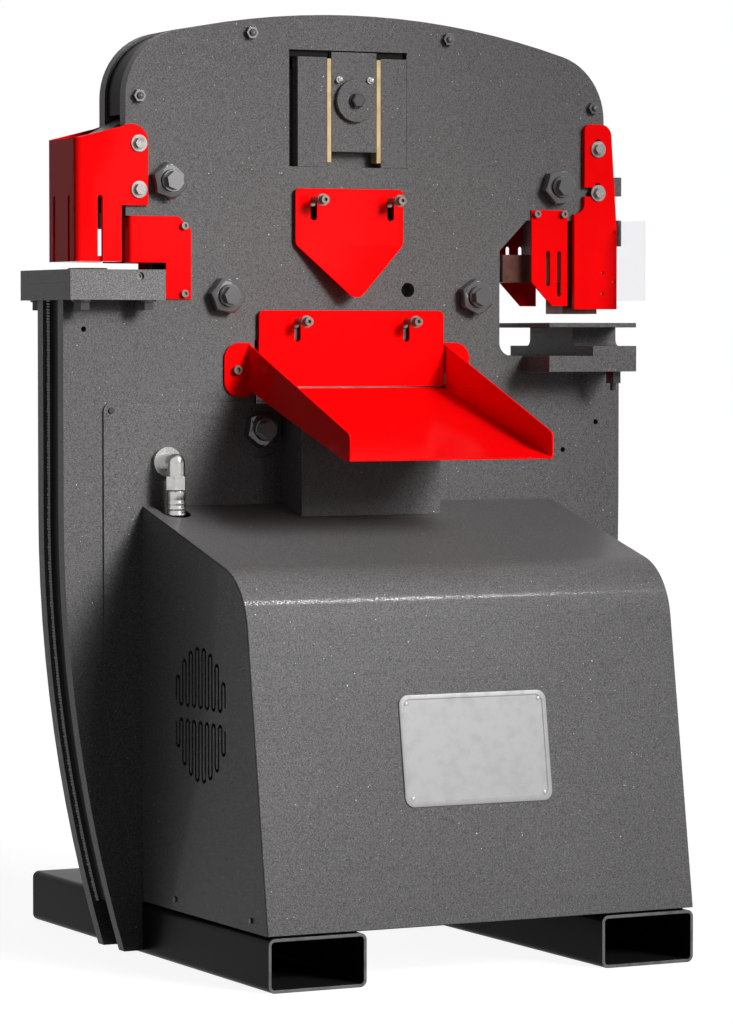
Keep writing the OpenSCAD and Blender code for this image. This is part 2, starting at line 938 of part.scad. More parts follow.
module band_bolts() {
  color("dimgray") for (p = band_spots) {
    bar_y(p[0], p[1], frame_y - band_nut_h, frame_depth + 2 * band_nut_h, band_bolt_d);
    for (y = [frame_y - band_nut_h, back_y]) difference() {
      hex_y(p[0], p[1], y, band_nut_h, band_nut_af, 0);
      bar_y(p[0], p[1], y - overrun, band_nut_h + 2 * overrun, band_bolt_d);
    }
  }
}

// Tie rods with a hexagon at each end
module tie_rods() {
  front = frame_y - tie_nut_h - tie_end;
  color("dimgray") for (i = [0 : len(tie_spots) - 1]) {
    p = tie_spots[i];
    bar_y(p[0], p[1], front, tie_l, tie_d);
    hex_y(p[0], p[1], front - tie_hex_h, tie_l + 2 * tie_hex_h, tie_hex_af, tie_turns[i]);
  }
}

module tie_nuts() {
  room = tie_nut_h + overrun;
  color("dimgray") for (i = [0 : len(tie_spots) - 1], e = [[frame_y, 1], [back_y, -1]]) difference() {
    p = tie_spots[i];
    nut_y(p, e[0], e[1], tie_nut_h, tie_nut_af, tie_turns[i]);
    bar_y(p[0], p[1], e[0] - room, 2 * room, tie_d + 2 * hole_clear);
  }
}

// Slide ways

module gib_blocks() {
  color("dimgray") for (y = [frame_y, gap_back_y]) {
    block([gib_block_gap - window_left, y, window_z],
      [slide_left - slide_clear - gib_t, y + plate_t, window_z + gib_block_h]);
    block([slide_right + slide_clear + gib_t, y, window_z],
      [window_right, y + plate_t, window_z + gib_block_h]);
  }
}

module brass_gibs() {
  xs = [slide_left - slide_clear - gib_t, slide_right + slide_clear];
  color("goldenrod") for (y = [frame_y, gap_back_y], x = xs)
    block([x, y, window_z + gib_rise], [x + gib_t, y + plate_t, window_z + gib_rise + gib_h]);
}

module slide_blocks() {
  color("gray") for (y = [[frame_y, ram_y], [ram_y + ram_t, back_y]]) difference() {
    block([slide_left, y[0], slide_z], [slide_right, y[1], slide_z + slide_h]);
    bar_y(slide_x, pin_z, y[0] - overrun, y[1] - y[0] + 2 * overrun, ram_pin_d + 2 * hole_clear);
  }
}

// Cross pin with a cap at each end
module ram_pin() {
  color("gray") {
    bar_y(slide_x, pin_z, frame_y, frame_depth, ram_pin_d);
    for (y = [frame_y - pin_cap_t, back_y]) bar_y(slide_x, pin_z, y, pin_cap_t, pin_cap_d);
  }
}

// Ram

// Room for an upper tie rod, open below
module tie_notch(p) {
  w = tie_d + 2 * tie_room;
  translate([p[0] - w / 2, ram_arm_z - overrun]) square([w, p[1] + stroke - ram_arm_z + overrun]);
  translate([p[0], p[1] + stroke]) circle(d = w);
}

module ram_outline() {
  difference() {
    union() {
      intersection() {
        translate(crown_c) circle(r = crown_r - ram_top_gap, $fn = fine_fn);
        polygon([[-arm_end_x, ram_arm_z], [-arm_end_x, arm_end_z], [-ram_left_x, arm_root_z],
          [-ram_left_x, frame_h], [ram_right_x, frame_h], [ram_right_x, ram_arm_z]]);
      }
      translate([-ram_half_w, tongue_top]) square([2 * ram_half_w, ram_arm_z + overrun - tongue_top]);
      translate([-tongue_half_w, tongue_z]) square([2 * tongue_half_w, tongue_top + overrun - tongue_z]);
    }
    tie_notch(tie_spots[0]);
    tie_notch(tie_spots[1]);
    angle_window(angle_tip_z - overrun, angle_half_w + overrun, upper_angle_z + upper_angle_half_w);
    translate([-ram_half_w + blade_t, shear_z - ram_window_drop])
      square([2 * (ram_half_w - blade_t), ram_window_top + ram_window_drop - shear_z]);
    translate([slide_x, pin_z]) circle(d = ram_pin_d + 2 * hole_clear);
    translate([0, rod_pin_z]) circle(d = cyl_pin_d + 2 * hole_clear);
  }
}

module ram_plate() {
  color("dimgray") difference() {
    along_y(ram_y, ram_t) ram_outline();
    along_y(ram_y - overrun, blade_t + overrun) {
      translate([-blade_half_l, ram_window_top - overrun])
        square([2 * blade_half_l, upper_blade_top + overrun - ram_window_top]);
      translate([-upper_angle_half_w, upper_angle_z + upper_angle_half_w - overrun])
        square([2 * upper_angle_half_w, upper_angle_h + overrun]);
    }
  }
}

// Raked blade that hangs in the ram's pocket
module upper_shear_blade() {
  low = shear_z + upper_blade_gap;
  color("silver") along_y(ram_y, blade_t)
    polygon([[-blade_half_l, low], [blade_half_l, low + upper_blade_rake],
      [blade_half_l, upper_blade_top], [-blade_half_l, upper_blade_top]]);
}

module lower_shear_blade() {
  color("silver") along_y(frame_y, ram_y - slide_clear - frame_y)
    translate([-blade_half_l, shear_z - blade_h]) square([2 * blade_half_l, blade_h]);
}

module upper_angle_blade() {
  color("silver") along_y(ram_y, blade_t) angle_window(upper_angle_z, upper_angle_half_w, upper_angle_top);
}

// V of the angle shear, let into the front plate
module lower_angle_blade() {
  w = angle_half_w;
  color("silver") along_y(frame_y, ram_y - slide_clear - frame_y)
    polygon([[0, angle_tip_z], [w, angle_tip_z + w], [w, angle_z + w], [0, angle_z], [-w, angle_z + w],
      [-w, angle_tip_z + w]]);
}

// Punch station

module punch_holder() {
  color("dimgray") translate([-punch_x, mid_y, 0]) difference() {
    union() {
      translate([0, 0, holder_z]) cylinder(h = holder_nut_h, d = holder_d);
      translate([0, 0, holder_z]) cylinder(h = ram_arm_z - holder_z, d = holder_neck_d);
    }
    translate([0, 0, holder_z - overrun])
      cylinder(h = overrun + holder_nut_h, d = punch_d + 2 * hole_clear);
    translate([0, 0, holder_z + holder_nut_h / 2])
      cylinder(h = holder_nut_h, d = punch_head_d + 2 * hole_clear);
  }
}

// Punch with the head that its coupling nut holds
module punch() {
  color("silver") translate([-punch_x, mid_y, 0]) {
    translate([0, 0, punch_tip_z]) cylinder(h = holder_z + holder_nut_h - punch_tip_z, d = punch_d);
    translate([0, 0, holder_z + holder_nut_h / 2]) cylinder(h = holder_nut_h, d = punch_head_d);
  }
}

module table_plan(z, h) {
  block([-table_reach, mid_y - table_d / 2, z], [-table_inner_x, mid_y + table_d / 2, z + h]);
}

module punch_bolster() {
  color("dimgray") difference() {
    table_plan(left_jaw_z, bolster_h);
    translate([-punch_x, mid_y, left_jaw_z - overrun]) cylinder(h = bolster_h + 2 * overrun, d = slug_d);
    table_bolt_holes(left_jaw_z, bolster_h);
  }
}

module punch_table() {
  color("dimgray") difference() {
    table_plan(table_z, table_h);
    translate([-punch_x, mid_y, table_z - overrun])
      cylinder(h = table_h + 2 * overrun, d = die_d + 2 * hole_clear);
    table_bolt_holes(table_z - overrun, table_bolt_depth);
    bar_y(-table_screw_x, table_z + table_h / 2, mid_y - table_d / 2 - overrun, overrun + table_screw_l,
      screw_head_d + 2 * hole_clear);
  }
}

module punch_die() {
  color("silver") translate([-punch_x, mid_y, 0]) difference() {
    translate([0, 0, table_z]) cylinder(h = table_h + die_rise, d = die_d);
    translate([0, 0, table_z - overrun])
      cylinder(h = table_h + die_rise + 2 * overrun, d = punch_d + 2 * die_bore_clear);
  }
}

module table_bolt_holes(z, h) {
  for (p = table_bolt_spots) translate([p[0], p[1], z - overrun])
    cylinder(h = h + 2 * overrun, d = bolt_d + 2 * hole_clear);
}

module guard_flange() {
  difference() {
    union() {
      polygon([[-guard_reach, guard_bottom], [-guard_reach, guard_bottom + guard_web_h],
        [-guard_ear_x - guard_ear_r, guard_top], [-guard_ear_x - guard_ear_r, guard_ear_z],
        [-guard_step_x, guard_ear_z], [-guard_step_x, guard_bottom]]);
      translate([-guard_ear_x - guard_ear_r - overrun, guard_ear_z])
        square([guard_ear_r + overrun, guard_top - guard_ear_r - guard_ear_z]);
      translate([-guard_ear_x - guard_ear_r, guard_top - guard_ear_r]) circle(r = guard_ear_r);
    }
    translate([-guard_slot_x, guard_bottom - guard_slot_w]) slot(guard_slot_w, guard_slot_h + guard_slot_w);
    for (p = punch_bolt_spots) translate([p[0], p[1] - bolt_d / 2 - guard_slot_play])
      slot(bolt_d + 2 * guard_slot_play, bolt_d + 2 * guard_slot_play + guard_drop);
  }
}

// Rounds of the two upright bends at x, between y0 and y1
module bend_cuts(x, y0, y1, z, h, r) {
  translate([0, 0, z - overrun]) linear_extrude(h + 2 * overrun) {
    round_off([x, y1], [x, y0], [x + r, y0], r);
    round_off([x, y0], [x, y1], [x + r, y1], r);
  }
}

module punch_guard() {
  front = frame_y - side_clear - punch_guard_t;
  back = back_y + side_clear;
  inner_x = punch_guard_t - guard_reach;
  color("red") {
    difference() {
      union() {
        along_y(front, punch_guard_t) guard_flange();
        along_y(back, punch_guard_t) guard_flange();
        block([-guard_reach, front, guard_bottom],
          [inner_x, back + punch_guard_t, guard_bottom + guard_web_h]);
      }
      for (s = [-1, 1]) along_x(-guard_reach - overrun, punch_guard_t + 2 * overrun)
        translate([mid_y + s * guard_side_slot, guard_bottom - guard_slot_w])
          slot(guard_slot_w, guard_slot_h + guard_slot_w);
      bend_cuts(-guard_reach, front, back + punch_guard_t, guard_bottom, guard_web_h, guard_bend_r);
    }
    difference() {
      block([inner_x, front + punch_guard_t, guard_bottom],
        [-guard_step_x, back, guard_bottom + stripper_t]);
      translate([-punch_x, mid_y, guard_bottom - overrun]) {
        cylinder(h = stripper_t + 2 * overrun, d = stripper_d);
        translate([0, -stripper_d / 2, 0]) cube([punch_x, stripper_d, stripper_t + 2 * overrun]);
      }
    }
  }
}

module throat_guard_outline() {
  top = left_throat_top;
  low = left_jaw_z + throat_guard_foot;
  polygon([[-throat_guard_left, top - throat_guard_drop], [-throat_guard_left, top],
    [-throat_guard_right - throat_guard_chamfer, top], [-throat_guard_right, top - throat_guard_chamfer],
    [-throat_guard_right, low], [-throat_guard_step, low], [-throat_guard_step, top - throat_guard_drop]]);
}

module throat_guard(y, lip_y) {
  along_y(y, sheet_t) difference() {
    throat_guard_outline();
    holes(throat_screw_spots, screw_d + 2 * hole_clear);
  }
  block([-throat_guard_left, lip_y, left_throat_top - throat_guard_drop],
    [sheet_t - throat_guard_left, lip_y + throat_guard_lip, left_throat_top - overrun]);
}

module throat_guards() {
  low = left_throat_top - throat_guard_drop;
  color("red") difference() {
    union() {
      throat_guard(frame_y - sheet_t, frame_y);
      throat_guard(back_y, back_y - throat_guard_lip);
    }
    bend_cuts(-throat_guard_left, frame_y - sheet_t, back_y + sheet_t, low, throat_guard_drop,
      throat_guard_r);
  }
}

// Fasteners

// Hex bolt with its washer, seated on a face at y and pointing in the direction dir along Y
module hex_bolt(p, y, dir, l) {
  translate([p[0], y, p[1]]) rotate([-90 * dir, 0, 0]) {
    translate([0, 0, -washer_t]) cylinder(h = washer_t, d = washer_d);
    translate([0, 0, -washer_t - bolt_head_h]) cylinder(h = bolt_head_h, d = bolt_af / cos(30), $fn = 6);
    cylinder(h = l, d = bolt_d);
  }
}

module hex_bolts() {
  punch_seat = side_clear + punch_guard_t + side_clear;
  notch_seat = side_clear + notch_guard_t + side_clear;
  color("silver") {
    for (p = punch_bolt_spots) {
      hex_bolt(p, frame_y - punch_seat, 1, punch_seat + bolt_depth);
      hex_bolt(p, back_y + punch_seat, -1, punch_seat + bolt_depth);
    }
    for (p = notch_bolt_spots) hex_bolt(p, frame_y - notch_seat, 1, notch_seat + bolt_depth);
    for (p = table_bolt_spots) {
      upright_bolt(p, left_jaw_z, bolster_h + table_bolt_depth - 2 * overrun, foot_washer_t + foot_bolt_h, 0);
      translate([p[0], p[1], left_jaw_z - foot_washer_t]) cylinder(h = foot_washer_t, d = foot_washer_d);
    }
    for (p = notch_foot_spots)
      upright_bolt(p, right_jaw_z - bracket_h, bracket_h + notch_flange_h, foot_nut_h, foot_tail);
  }
}

// Bolt from below, with its hexagon under z and a tail below that
module upright_bolt(p, z, l, hex_h, tail) {
  translate([p[0], p[1], z]) {
    translate([0, 0, -hex_h]) cylinder(h = hex_h, d = foot_bolt_af / cos(30), $fn = 6);
    translate([0, 0, -hex_h - tail]) cylinder(h = tail + hex_h + l, d = bolt_d);
  }
}

// Socket screw seated on a face at y
module socket_screw(p, y, dir, d, head_d, head_h, l) {
  translate([p[0], y, p[1]]) rotate([-90 * dir, 0, 0]) {
    difference() {
      translate([0, 0, -head_h]) cylinder(h = head_h, d = head_d);
      translate([0, 0, -head_h - overrun]) cylinder(h = overrun + head_h / 2, d = d, $fn = 6);
    }
    cylinder(h = l, d = d);
  }
}

module socket_screws() {
  color("silver") {
    for (p = concat(throat_screw_spots, pent_screw_spots)) {
      socket_screw(p, frame_y - sheet_t, 1, screw_d, screw_head_d, screw_head_h, sheet_t + screw_depth);
      socket_screw(p, back_y + sheet_t, -1, screw_d, screw_head_d, screw_head_h, sheet_t + screw_depth);
    }
    for (p = tray_screw_spots) socket_screw(p, tray_back_y, 1, tray_screw_d, stud_head_d,
      tray_screw_d, guard_gap + screw_depth);
    socket_screw([-table_screw_x, table_z + table_h / 2], mid_y - table_d / 2 + table_screw_l / 2, 1,
      screw_d, screw_head_d, screw_head_h, table_screw_l / 2);
  }
}

// Long studs on which the angle and flat bar guards hang, each with a collar, a washer and a screw
module guard_studs() {
  color("silver") for (p = hang_spots) {
    front = hang_back - guard_t - side_clear;
    bar_y(p[0], p[1], front - stud_l, frame_y - front + stud_l + screw_depth, stud_d);
    bar_y(p[0], p[1], hang_back + side_clear, guard_gap - side_clear, stud_washer_d);
    bar_y(p[0], p[1], front - stud_l, washer_t, stud_washer_d);
    socket_screw(p, front - stud_l, 1, screw_d, stud_head_d, stud_head_h, washer_t);
  }
}

module pan_screw(p) {
  bar_y(p[0], p[1], frame_y - panel_t - pan_screw_head_h, pan_screw_head_h, pan_screw_head_d);
  bar_y(p[0], p[1], frame_y - panel_t, panel_t + screw_depth, pan_screw_d);
}

module panel_screws() {
  color("dimgray") {
    for (p = panel_screw_spots) pan_screw(p);
    for (s = [-1, 1], y = cover_screw_ys) translate([s * tube_outer_x, y, cover_bottom + cover_screw_rise])
      rotate([0, s * 90, 0]) {
        cylinder(h = pan_screw_head_h, d = pan_screw_head_d);
        translate([0, 0, -cover_t - pan_screw_head_h])
          cylinder(h = cover_t + pan_screw_head_h, d = pan_screw_d);
      }
  }
}

// Hanging guards

// Guard of the angle shear, whose tapered lower part is bent towards the operator
module angle_guard() {
  w = angle_guard_half_w;
  front = hang_back - guard_t;
  low = angle_guard_fold_z - angle_guard_tip;
  tip = [hang_back - angle_guard_tip * tan(guard_bend), low];
  color("red") difference() {
    intersection() {
      along_x(angle_guard_x - w, 2 * w) polygon([[hang_back, angle_guard_top],
        [hang_back, angle_guard_fold_z], tip, tip + guard_t * [-cos(guard_bend), sin(guard_bend)],
        [front, angle_guard_fold_z + guard_t * tan(guard_bend / 2)], [front, angle_guard_top]]);
      along_y(front - angle_guard_tip, guard_t + angle_guard_tip + overrun) translate([angle_guard_x, 0])
        rounded_polygon([[-w, angle_guard_fold_z], [-w, angle_guard_top], [w, angle_guard_top],
          [w, angle_guard_fold_z], [0, low]],
          [angle_guard_side_r, hang_corner_r, hang_corner_r, angle_guard_side_r, angle_guard_tip_r]);
    }
    for (s = [-1, 1]) along_y(front - overrun, guard_t + 2 * overrun)
      translate([s * angle_slot_x, angle_guard_top - angle_slot_drop - hang_slot_h])
        slot(guard_slot, hang_slot_h);
  }
}

module shear_guard() {
  w = shear_guard_half_w;
  top = shear_guard_z + shear_guard_h;
  color("red") along_y(hang_back - guard_t, guard_t) difference() {
    rounded_polygon([[-w, shear_guard_z], [-w, top], [w, top], [w, shear_guard_z]],
      [0, hang_corner_r, hang_corner_r, 0]);
    for (s = [-1, 1]) translate([s * shear_slot_x, top - shear_slot_drop - hang_slot_h])
      slot(guard_slot, hang_slot_h);
  }
}

// Tray of bent sheet: a sloping floor, two walls and a rounded tab on each

module tray_wall(x) {
  front = tray_back_y - tray_l;
  along_x(x, sheet_t) rounded_polygon([[tray_back_y, tray_z - sheet_t],
    [tray_back_y, tray_z + tray_wall_back], [front, tray_z - tray_fall + tray_wall_front],
    [front, tray_z - tray_fall - sheet_t - tray_wall_drop]], [0, 0, tray_wall_r, tray_wall_r]);
}

module tray_tab(side) {
  x = tray_x + side * tray_w / 2;
  along_y(tray_back_y, guard_gap) difference() {
    intersection() {
      translate([x, tray_z + tray_tab_rise]) rounded_rect(2 * tray_tab_w, tray_tab_h, tray_tab_r);
      translate([side > 0 ? x - sheet_t : x - tray_tab_w, tray_z + tray_tab_rise - tray_tab_h / 2])
        square([tray_tab_w + sheet_t, tray_tab_h]);
    }
    holes(tray_screw_spots, tray_screw_d + 2 * hole_clear);
  }
}

module shear_tray() {
  front = tray_back_y - tray_l;
  color("red") {
    along_x(tray_x - tray_w / 2, tray_w) polygon([[tray_back_y, tray_z - sheet_t], [tray_back_y, tray_z],
      [front, tray_z - tray_fall], [front, tray_z - tray_fall - sheet_t]]);
    tray_wall(tray_x - tray_w / 2);
    tray_wall(tray_x + tray_w / 2 - sheet_t);
    tray_tab(-1);
    tray_tab(1);
  }
}

// Cylinder and its boxes

module cylinder_barrel() {
  bottom = cyl_top - cyl_l;
  color("dimgray") difference() {
    union() {
      translate([0, mid_y, bottom]) cylinder(h = cyl_l, d = cyl_d);
      block([-lug_w / 2, ram_y, bottom - lug_h], [lug_w / 2, ram_y + ram_t, bottom]);
    }
    translate([0, mid_y, bottom + cyl_base_h]) cylinder(h = cyl_l, d = cyl_bore);
    bar_y(0, bottom - cyl_pin_drop, ram_y - overrun, ram_t + 2 * overrun, cyl_pin_d + 2 * hole_clear);
  }
}

module cylinder_gland() {
  color("gray") translate([0, mid_y, 0]) difference() {
    union() {
      translate([0, 0, cyl_top]) cylinder(h = gland_h, d = cyl_d);
      translate([0, 0, cyl_top - gland_spigot_h])
        cylinder(h = gland_spigot_h, d = cyl_bore - 2 * hole_clear);
    }
    translate([0, 0, cyl_top - gland_spigot_h - overrun])
      cylinder(h = gland_h + gland_spigot_h + 2 * overrun, d = rod_d + 2 * fit_clear);
  }
}

// Pin that anchors the cylinder in both plates, with a collar at each end
module cylinder_pin() {
  z = cyl_top - cyl_l - cyl_pin_drop;
  color("gray") {
    bar_y(0, z, frame_y, frame_depth, cyl_pin_d);
    for (y = [frame_y - pin_cap_t, back_y]) bar_y(0, z, y, pin_cap_t, pin_cap_d);
  }
}

// Piston, rod and the fork that takes the ram's tongue
module piston_rod() {
  fork_z = tongue_z - clevis_base;
  fork_top = cyl_hole_top - clevis_gap;
  color("silver") difference() {
    translate([0, mid_y, 0]) {
      translate([0, 0, cyl_top - piston_drop - piston_h])
        cylinder(h = piston_h, d = cyl_bore - 2 * fit_clear);
      translate([0, 0, cyl_top - piston_drop]) cylinder(h = fork_z + piston_drop - cyl_top, d = rod_d);
      translate([0, 0, fork_z]) cylinder(h = fork_top - fork_z, d = clevis_d);
    }
    block([-clevis_d, ram_y - clevis_clear, tongue_z - clevis_clear],
      [clevis_d, ram_y + ram_t + clevis_clear, fork_top + overrun]);
    bar_y(0, rod_pin_z, mid_y - clevis_d, 2 * clevis_d, cyl_pin_d + 2 * hole_clear);
  }
}

module rod_pin() {
  color("gray") bar_y(0, rod_pin_z, mid_y - clevis_d / 2, clevis_d, cyl_pin_d);
}

// Sheet box on the frame's front, open to the frame and cut to the cover's top
module front_cylinder_box() {
  y = frame_y - box_d;
  z = cover_top - box_d;
  color("dimgray") difference() {
    block([-box_half_w, y, z], [box_half_w, frame_y, box_top]);
    block([sheet_t - box_half_w, y + sheet_t, z - overrun],
      [box_half_w - sheet_t, frame_y + overrun, box_top - sheet_t]);
    along_x(-box_half_w - overrun, 2 * (box_half_w + overrun)) cover_region(-side_clear, overrun);
  }
}

// Sheet box on the frame's back, open to the frame
module rear_cylinder_box() {
  color("dimgray") difference() {
    block([-box_half_w, back_y, box_back_bottom], [box_half_w, back_y + box_d, box_top]);
    block([sheet_t - box_half_w, back_y - overrun, box_back_bottom + sheet_t],
      [box_half_w - sheet_t, back_y + box_d - sheet_t, box_top - sheet_t]);
  }
}

// Access panel, elbow and hose

module access_panel() {
  color("dimgray") along_y(frame_y - panel_t, panel_t) difference() {
    intersection() {
      jaw_region(panel_inset);
      union() {
        translate([-panel_left + panel_r, panel_bottom])
          square([panel_left - panel_right - panel_r, panel_top - panel_bottom]);
        translate([-panel_left, panel_bottom])
          square([panel_left - panel_right, panel_top - panel_r - panel_bottom]);
        translate([-panel_left + panel_r, panel_top - panel_r]) circle(r = panel_r);
      }
    }
    holes(panel_screw_spots, pan_screw_d + 2 * hole_clear);
    holes([[-hose_x, elbow_z]], elbow_d + 2 * hole_clear);
    holes([tie_spots[4]], tie_nut_af / cos(30) + 2 * panel_r);
  }
}

// Bulkhead elbow: a flange on the panel, a leg through the plate and a leg down to the hose
module hose_elbow() {
  y = hose_y;
  color("silver") {
    bar_y(-hose_x, elbow_z, y, elbow_reach + elbow_flange_t + panel_t + plate_t, elbow_d);
    bar_y(-hose_x, elbow_z, frame_y - panel_t - elbow_flange_t, elbow_flange_t, elbow_flange_d);
    translate([-hose_x, y, elbow_z]) sphere(d = elbow_d);
    translate([-hose_x, y, elbow_z - elbow_drop]) cylinder(h = elbow_drop, d = elbow_d);
    translate([-hose_x, y, elbow_z - elbow_drop - hose_nut_h])
      cylinder(h = hose_nut_h, d = hose_nut_af / cos(30), $fn = 6);
  }
}

// Hose with its crimped end, down to the valve block
module hose() {
  y = hose_y;
  top = elbow_z - elbow_drop - hose_nut_h;
  bottom = tube_h + pan_t + tank_h + valve_h;
  color("black") translate([-hose_x, y, 0]) {
    translate([0, 0, top - ferrule_l]) cylinder(h = ferrule_l, d = ferrule_d);
    translate([0, 0, bottom]) cylinder(h = top - ferrule_l - bottom, d = hose_d);
    translate([0, 0, bottom]) cylinder(h = ferrule_l, d = ferrule_d);
  }
}

// Cover of the power unit

// Side view of the cover in Y and Z, drawn in from top and front by an inset and
// run on past its open back and bottom by an extra length
module cover_region(inset, extra) {
  r = cover_r - inset;
  back = cover_back + extra;
  low = cover_bottom - extra;
  polygon([[back, low], [back, top_z(back, inset)], cover_bend + r * cover_up,
    cover_bend + r * cover_out, [front_y(low, inset), low]]);
  translate(cover_bend) circle(r = r);
}

// Bent top and front of the cover, open under the cylinder box and round the hose
module cover_shell() {
  color("dimgray") difference() {
    along_x(-tube_outer_x, 2 * tube_outer_x) difference() {
      cover_region(0, 0);
      cover_region(cover_t, overrun);
    }
    block([sheet_t - box_half_w, frame_y + sheet_t - box_d, cover_bottom],
      [box_half_w - sheet_t, frame_y, 2 * cover_top]);
    translate([-hose_x, hose_y, cover_bottom]) {
      cylinder(h = cover_top, d = ferrule_d + 2 * hose_room);
      translate([-ferrule_d / 2 - hose_room, 0, 0]) cube([ferrule_d + 2 * hose_room, box_d, cover_top]);
    }
  }
}

// Meandering slit over the upper half of the vent, around the origin
module vent_half() {
  bend = (vent_pitch / 2 + vent_slit) / 2;
  run = vent_pitch / 2;
  low = vent_gap + bend;
  for (k = [0 : vent_loops - 1]) {
    x = (k - (vent_loops - 1) / 2) * vent_pitch;
    outer = abs(x) + run / 2;
    high = max(low + bend, sqrt(pow(vent_d / 2, 2) - pow(outer, 2)) - bend);
    for (s = [-1, 1]) translate([x + s * run / 2 - vent_slit / 2, low]) square([vent_slit, high - low]);
    translate([x, high]) half_ring(bend, vent_slit, 1);
    if (k > 0) translate([x - vent_pitch / 2, low]) half_ring(bend, vent_slit, -1);
  }
}

// Half of a flat ring above or below the origin
module half_ring(r, w, side) {
  difference() {
    circle(r = r);
    circle(r = r - w);
    translate([-2 * r, side > 0 ? -4 * r : 0]) square([4 * r, 4 * r]);
  }
}

module cover_side(x) {
  along_x(x, cover_t) difference() {
    cover_region(cover_t, 0);
    translate([vent_y, vent_z]) {
      vent_half();
      mirror([0, 1]) vent_half();
    }
    for (y = cover_screw_ys) translate([y, cover_bottom + cover_screw_rise])
      circle(d = pan_screw_d + 2 * hole_clear);
  }
}

module cover_left_side() {
  color("dimgray") cover_side(-tube_outer_x);
}

module cover_right_side() {
  color("dimgray") cover_side(tube_outer_x - cover_t);
}

// Power unit

module power_pan() {
  half_w = tube_outer_x - pan_inset;
  color("black") block([-half_w, cover_front + 2 * pan_inset, tube_h],
    [half_w, frame_y - panel_t - pan_inset, tube_h + pan_t]);
}

// Tank of the power unit with its lid and filler cap
module reservoir() {
  w = 2 * tank_half_w;
  d = tank_back - tank_front;
  color("black") {
    translate([0, (tank_front + tank_back) / 2, tube_h + pan_t]) {
      difference() {
        linear_extrude(tank_h - tank_lid_t) rounded_rect(w, d, tank_r);
        translate([0, 0, tank_wall]) linear_extrude(tank_h)
          rounded_rect(w - 2 * tank_wall, d - 2 * tank_wall, tank_r - tank_wall);
      }
      translate([0, 0, tank_h - tank_lid_t]) linear_extrude(tank_lid_t) rounded_rect(w, d, tank_r);
    }
    translate([tank_half_w - cap_d, tank_front + cap_d, tube_h + pan_t + tank_h])
      cylinder(h = cap_h, d = cap_d);
  }
}

module motor() {
  z = tube_h + pan_t + tank_h;
  color("gray") {
    translate([motor_x, motor_y, motor_z]) rotate([0, 90, 0]) cylinder(h = motor_l, d = motor_d);
    block([motor_x + motor_foot_h, motor_y - motor_d / 2, z],
      [motor_x + motor_l - motor_foot_h, motor_y + motor_d / 2, z + motor_foot_h]);
    block([motor_x + motor_foot_h, motor_y - motor_d * motor_rib_share, z],
      [motor_x + motor_l - motor_foot_h, motor_y + motor_d * motor_rib_share, motor_z]);
  }
}

module bell_housing() {
  color("dimgray") translate([motor_x + motor_l, motor_y, motor_z]) rotate([0, 90, 0]) difference() {
    cylinder(h = bell_l, d = bell_d);
    translate([0, 0, -overrun]) cylinder(h = bell_l + 2 * overrun, d = bell_d - 2 * bell_wall);
  }
}

module pump() {
  color("dimgray") translate([motor_x + motor_l + bell_l, motor_y, motor_z]) rotate([0, 90, 0]) {
    cylinder(h = bell_wall, d = bell_d);
    translate([0, 0, bell_wall]) cylinder(h = pump_l, d = pump_d);
  }
}

// Coupling between the motor's and the pump's shafts, inside the bell housing
module shaft_coupling() {
  inset = (bell_l - coupling_l) / 2;
  color("silver") translate([motor_x + motor_l, motor_y, motor_z]) rotate([0, 90, 0]) {
    translate([0, 0, side_clear]) cylinder(h = bell_l - 2 * side_clear, d = motor_shaft_d);
    translate([0, 0, inset]) difference() {
      cylinder(h = coupling_l, d = coupling_d);
      for (s = [-1, 1]) translate([s * coupling_d / 2, 0, (coupling_l - coupling_jaw_l) / 2])
        cylinder(h = coupling_jaw_l, d = coupling_jaw_d);
    }
  }
}

module valve_block() {
  y = hose_y;
  z = tube_h + pan_t + tank_h;
  color("silver") block([-hose_x - valve_w / 2 + hose_room, y - valve_d / 2, z],
    [valve_w / 2 - hose_x + hose_room, y + valve_d / 2, z + valve_h]);
}

// Notcher

module notch_bolt_holes(z, h) {
  for (p = notch_foot_spots) translate([p[0], p[1], z - overrun])
    cylinder(h = h + 2 * overrun, d = bolt_d + 2 * hole_clear);
}

module notcher_brackets() {
  x = notch_reach - notch_table_w;
  z = right_jaw_z - bracket_h;
  color("dimgray") difference() {
    union() {
      block([x, notch_y, z], [notch_reach, frame_y, right_jaw_z]);
      block([x, back_y, z], [notch_reach, notch_y + notch_d, right_jaw_z]);
    }
    notch_bolt_holes(z, bracket_h);
  }
}

// Opening that the notching punch goes into, wider by a clearance on each side
module notch_hole(z, h, clear) {
  block([notch_die_x + notch_hole_wall / 2 - clear, mid_y - notch_hole_d / 2 - clear, z],
    [notch_reach - notch_hole_wall + clear, mid_y + notch_hole_d / 2 + clear, z + h]);
}

module notcher_die() {
  y = mid_y - notch_neck_d / 2;
  color("dimgray") difference() {
    union() {
      block([notch_die_x, notch_y, notch_base_z], [notch_reach, notch_y + notch_d, notch_neck_z]);
      block([notch_die_x, y, notch_neck_z], [notch_reach, y + notch_neck_d, notch_table_z]);
      for (s = [0, 1]) along_x(notch_die_x, notch_die_w) translate([y + s * notch_neck_d, notch_neck_z])
        mirror([1 - s, 0]) inner_corner(notch_fillet_r);
    }
    notch_hole(notch_base_z - overrun, notch_flange_h + notch_neck_h + 2 * overrun, 0);
    notch_bolt_holes(notch_base_z, notch_flange_h);
  }
}

module notcher_table() {
  color("dimgray") difference() {
    block([notch_reach - notch_table_w, notch_y, notch_table_z],
      [notch_reach, notch_y + notch_d, notch_top]);
    notch_hole(notch_table_z - overrun, notch_table_t + 2 * overrun, 0);
  }
}

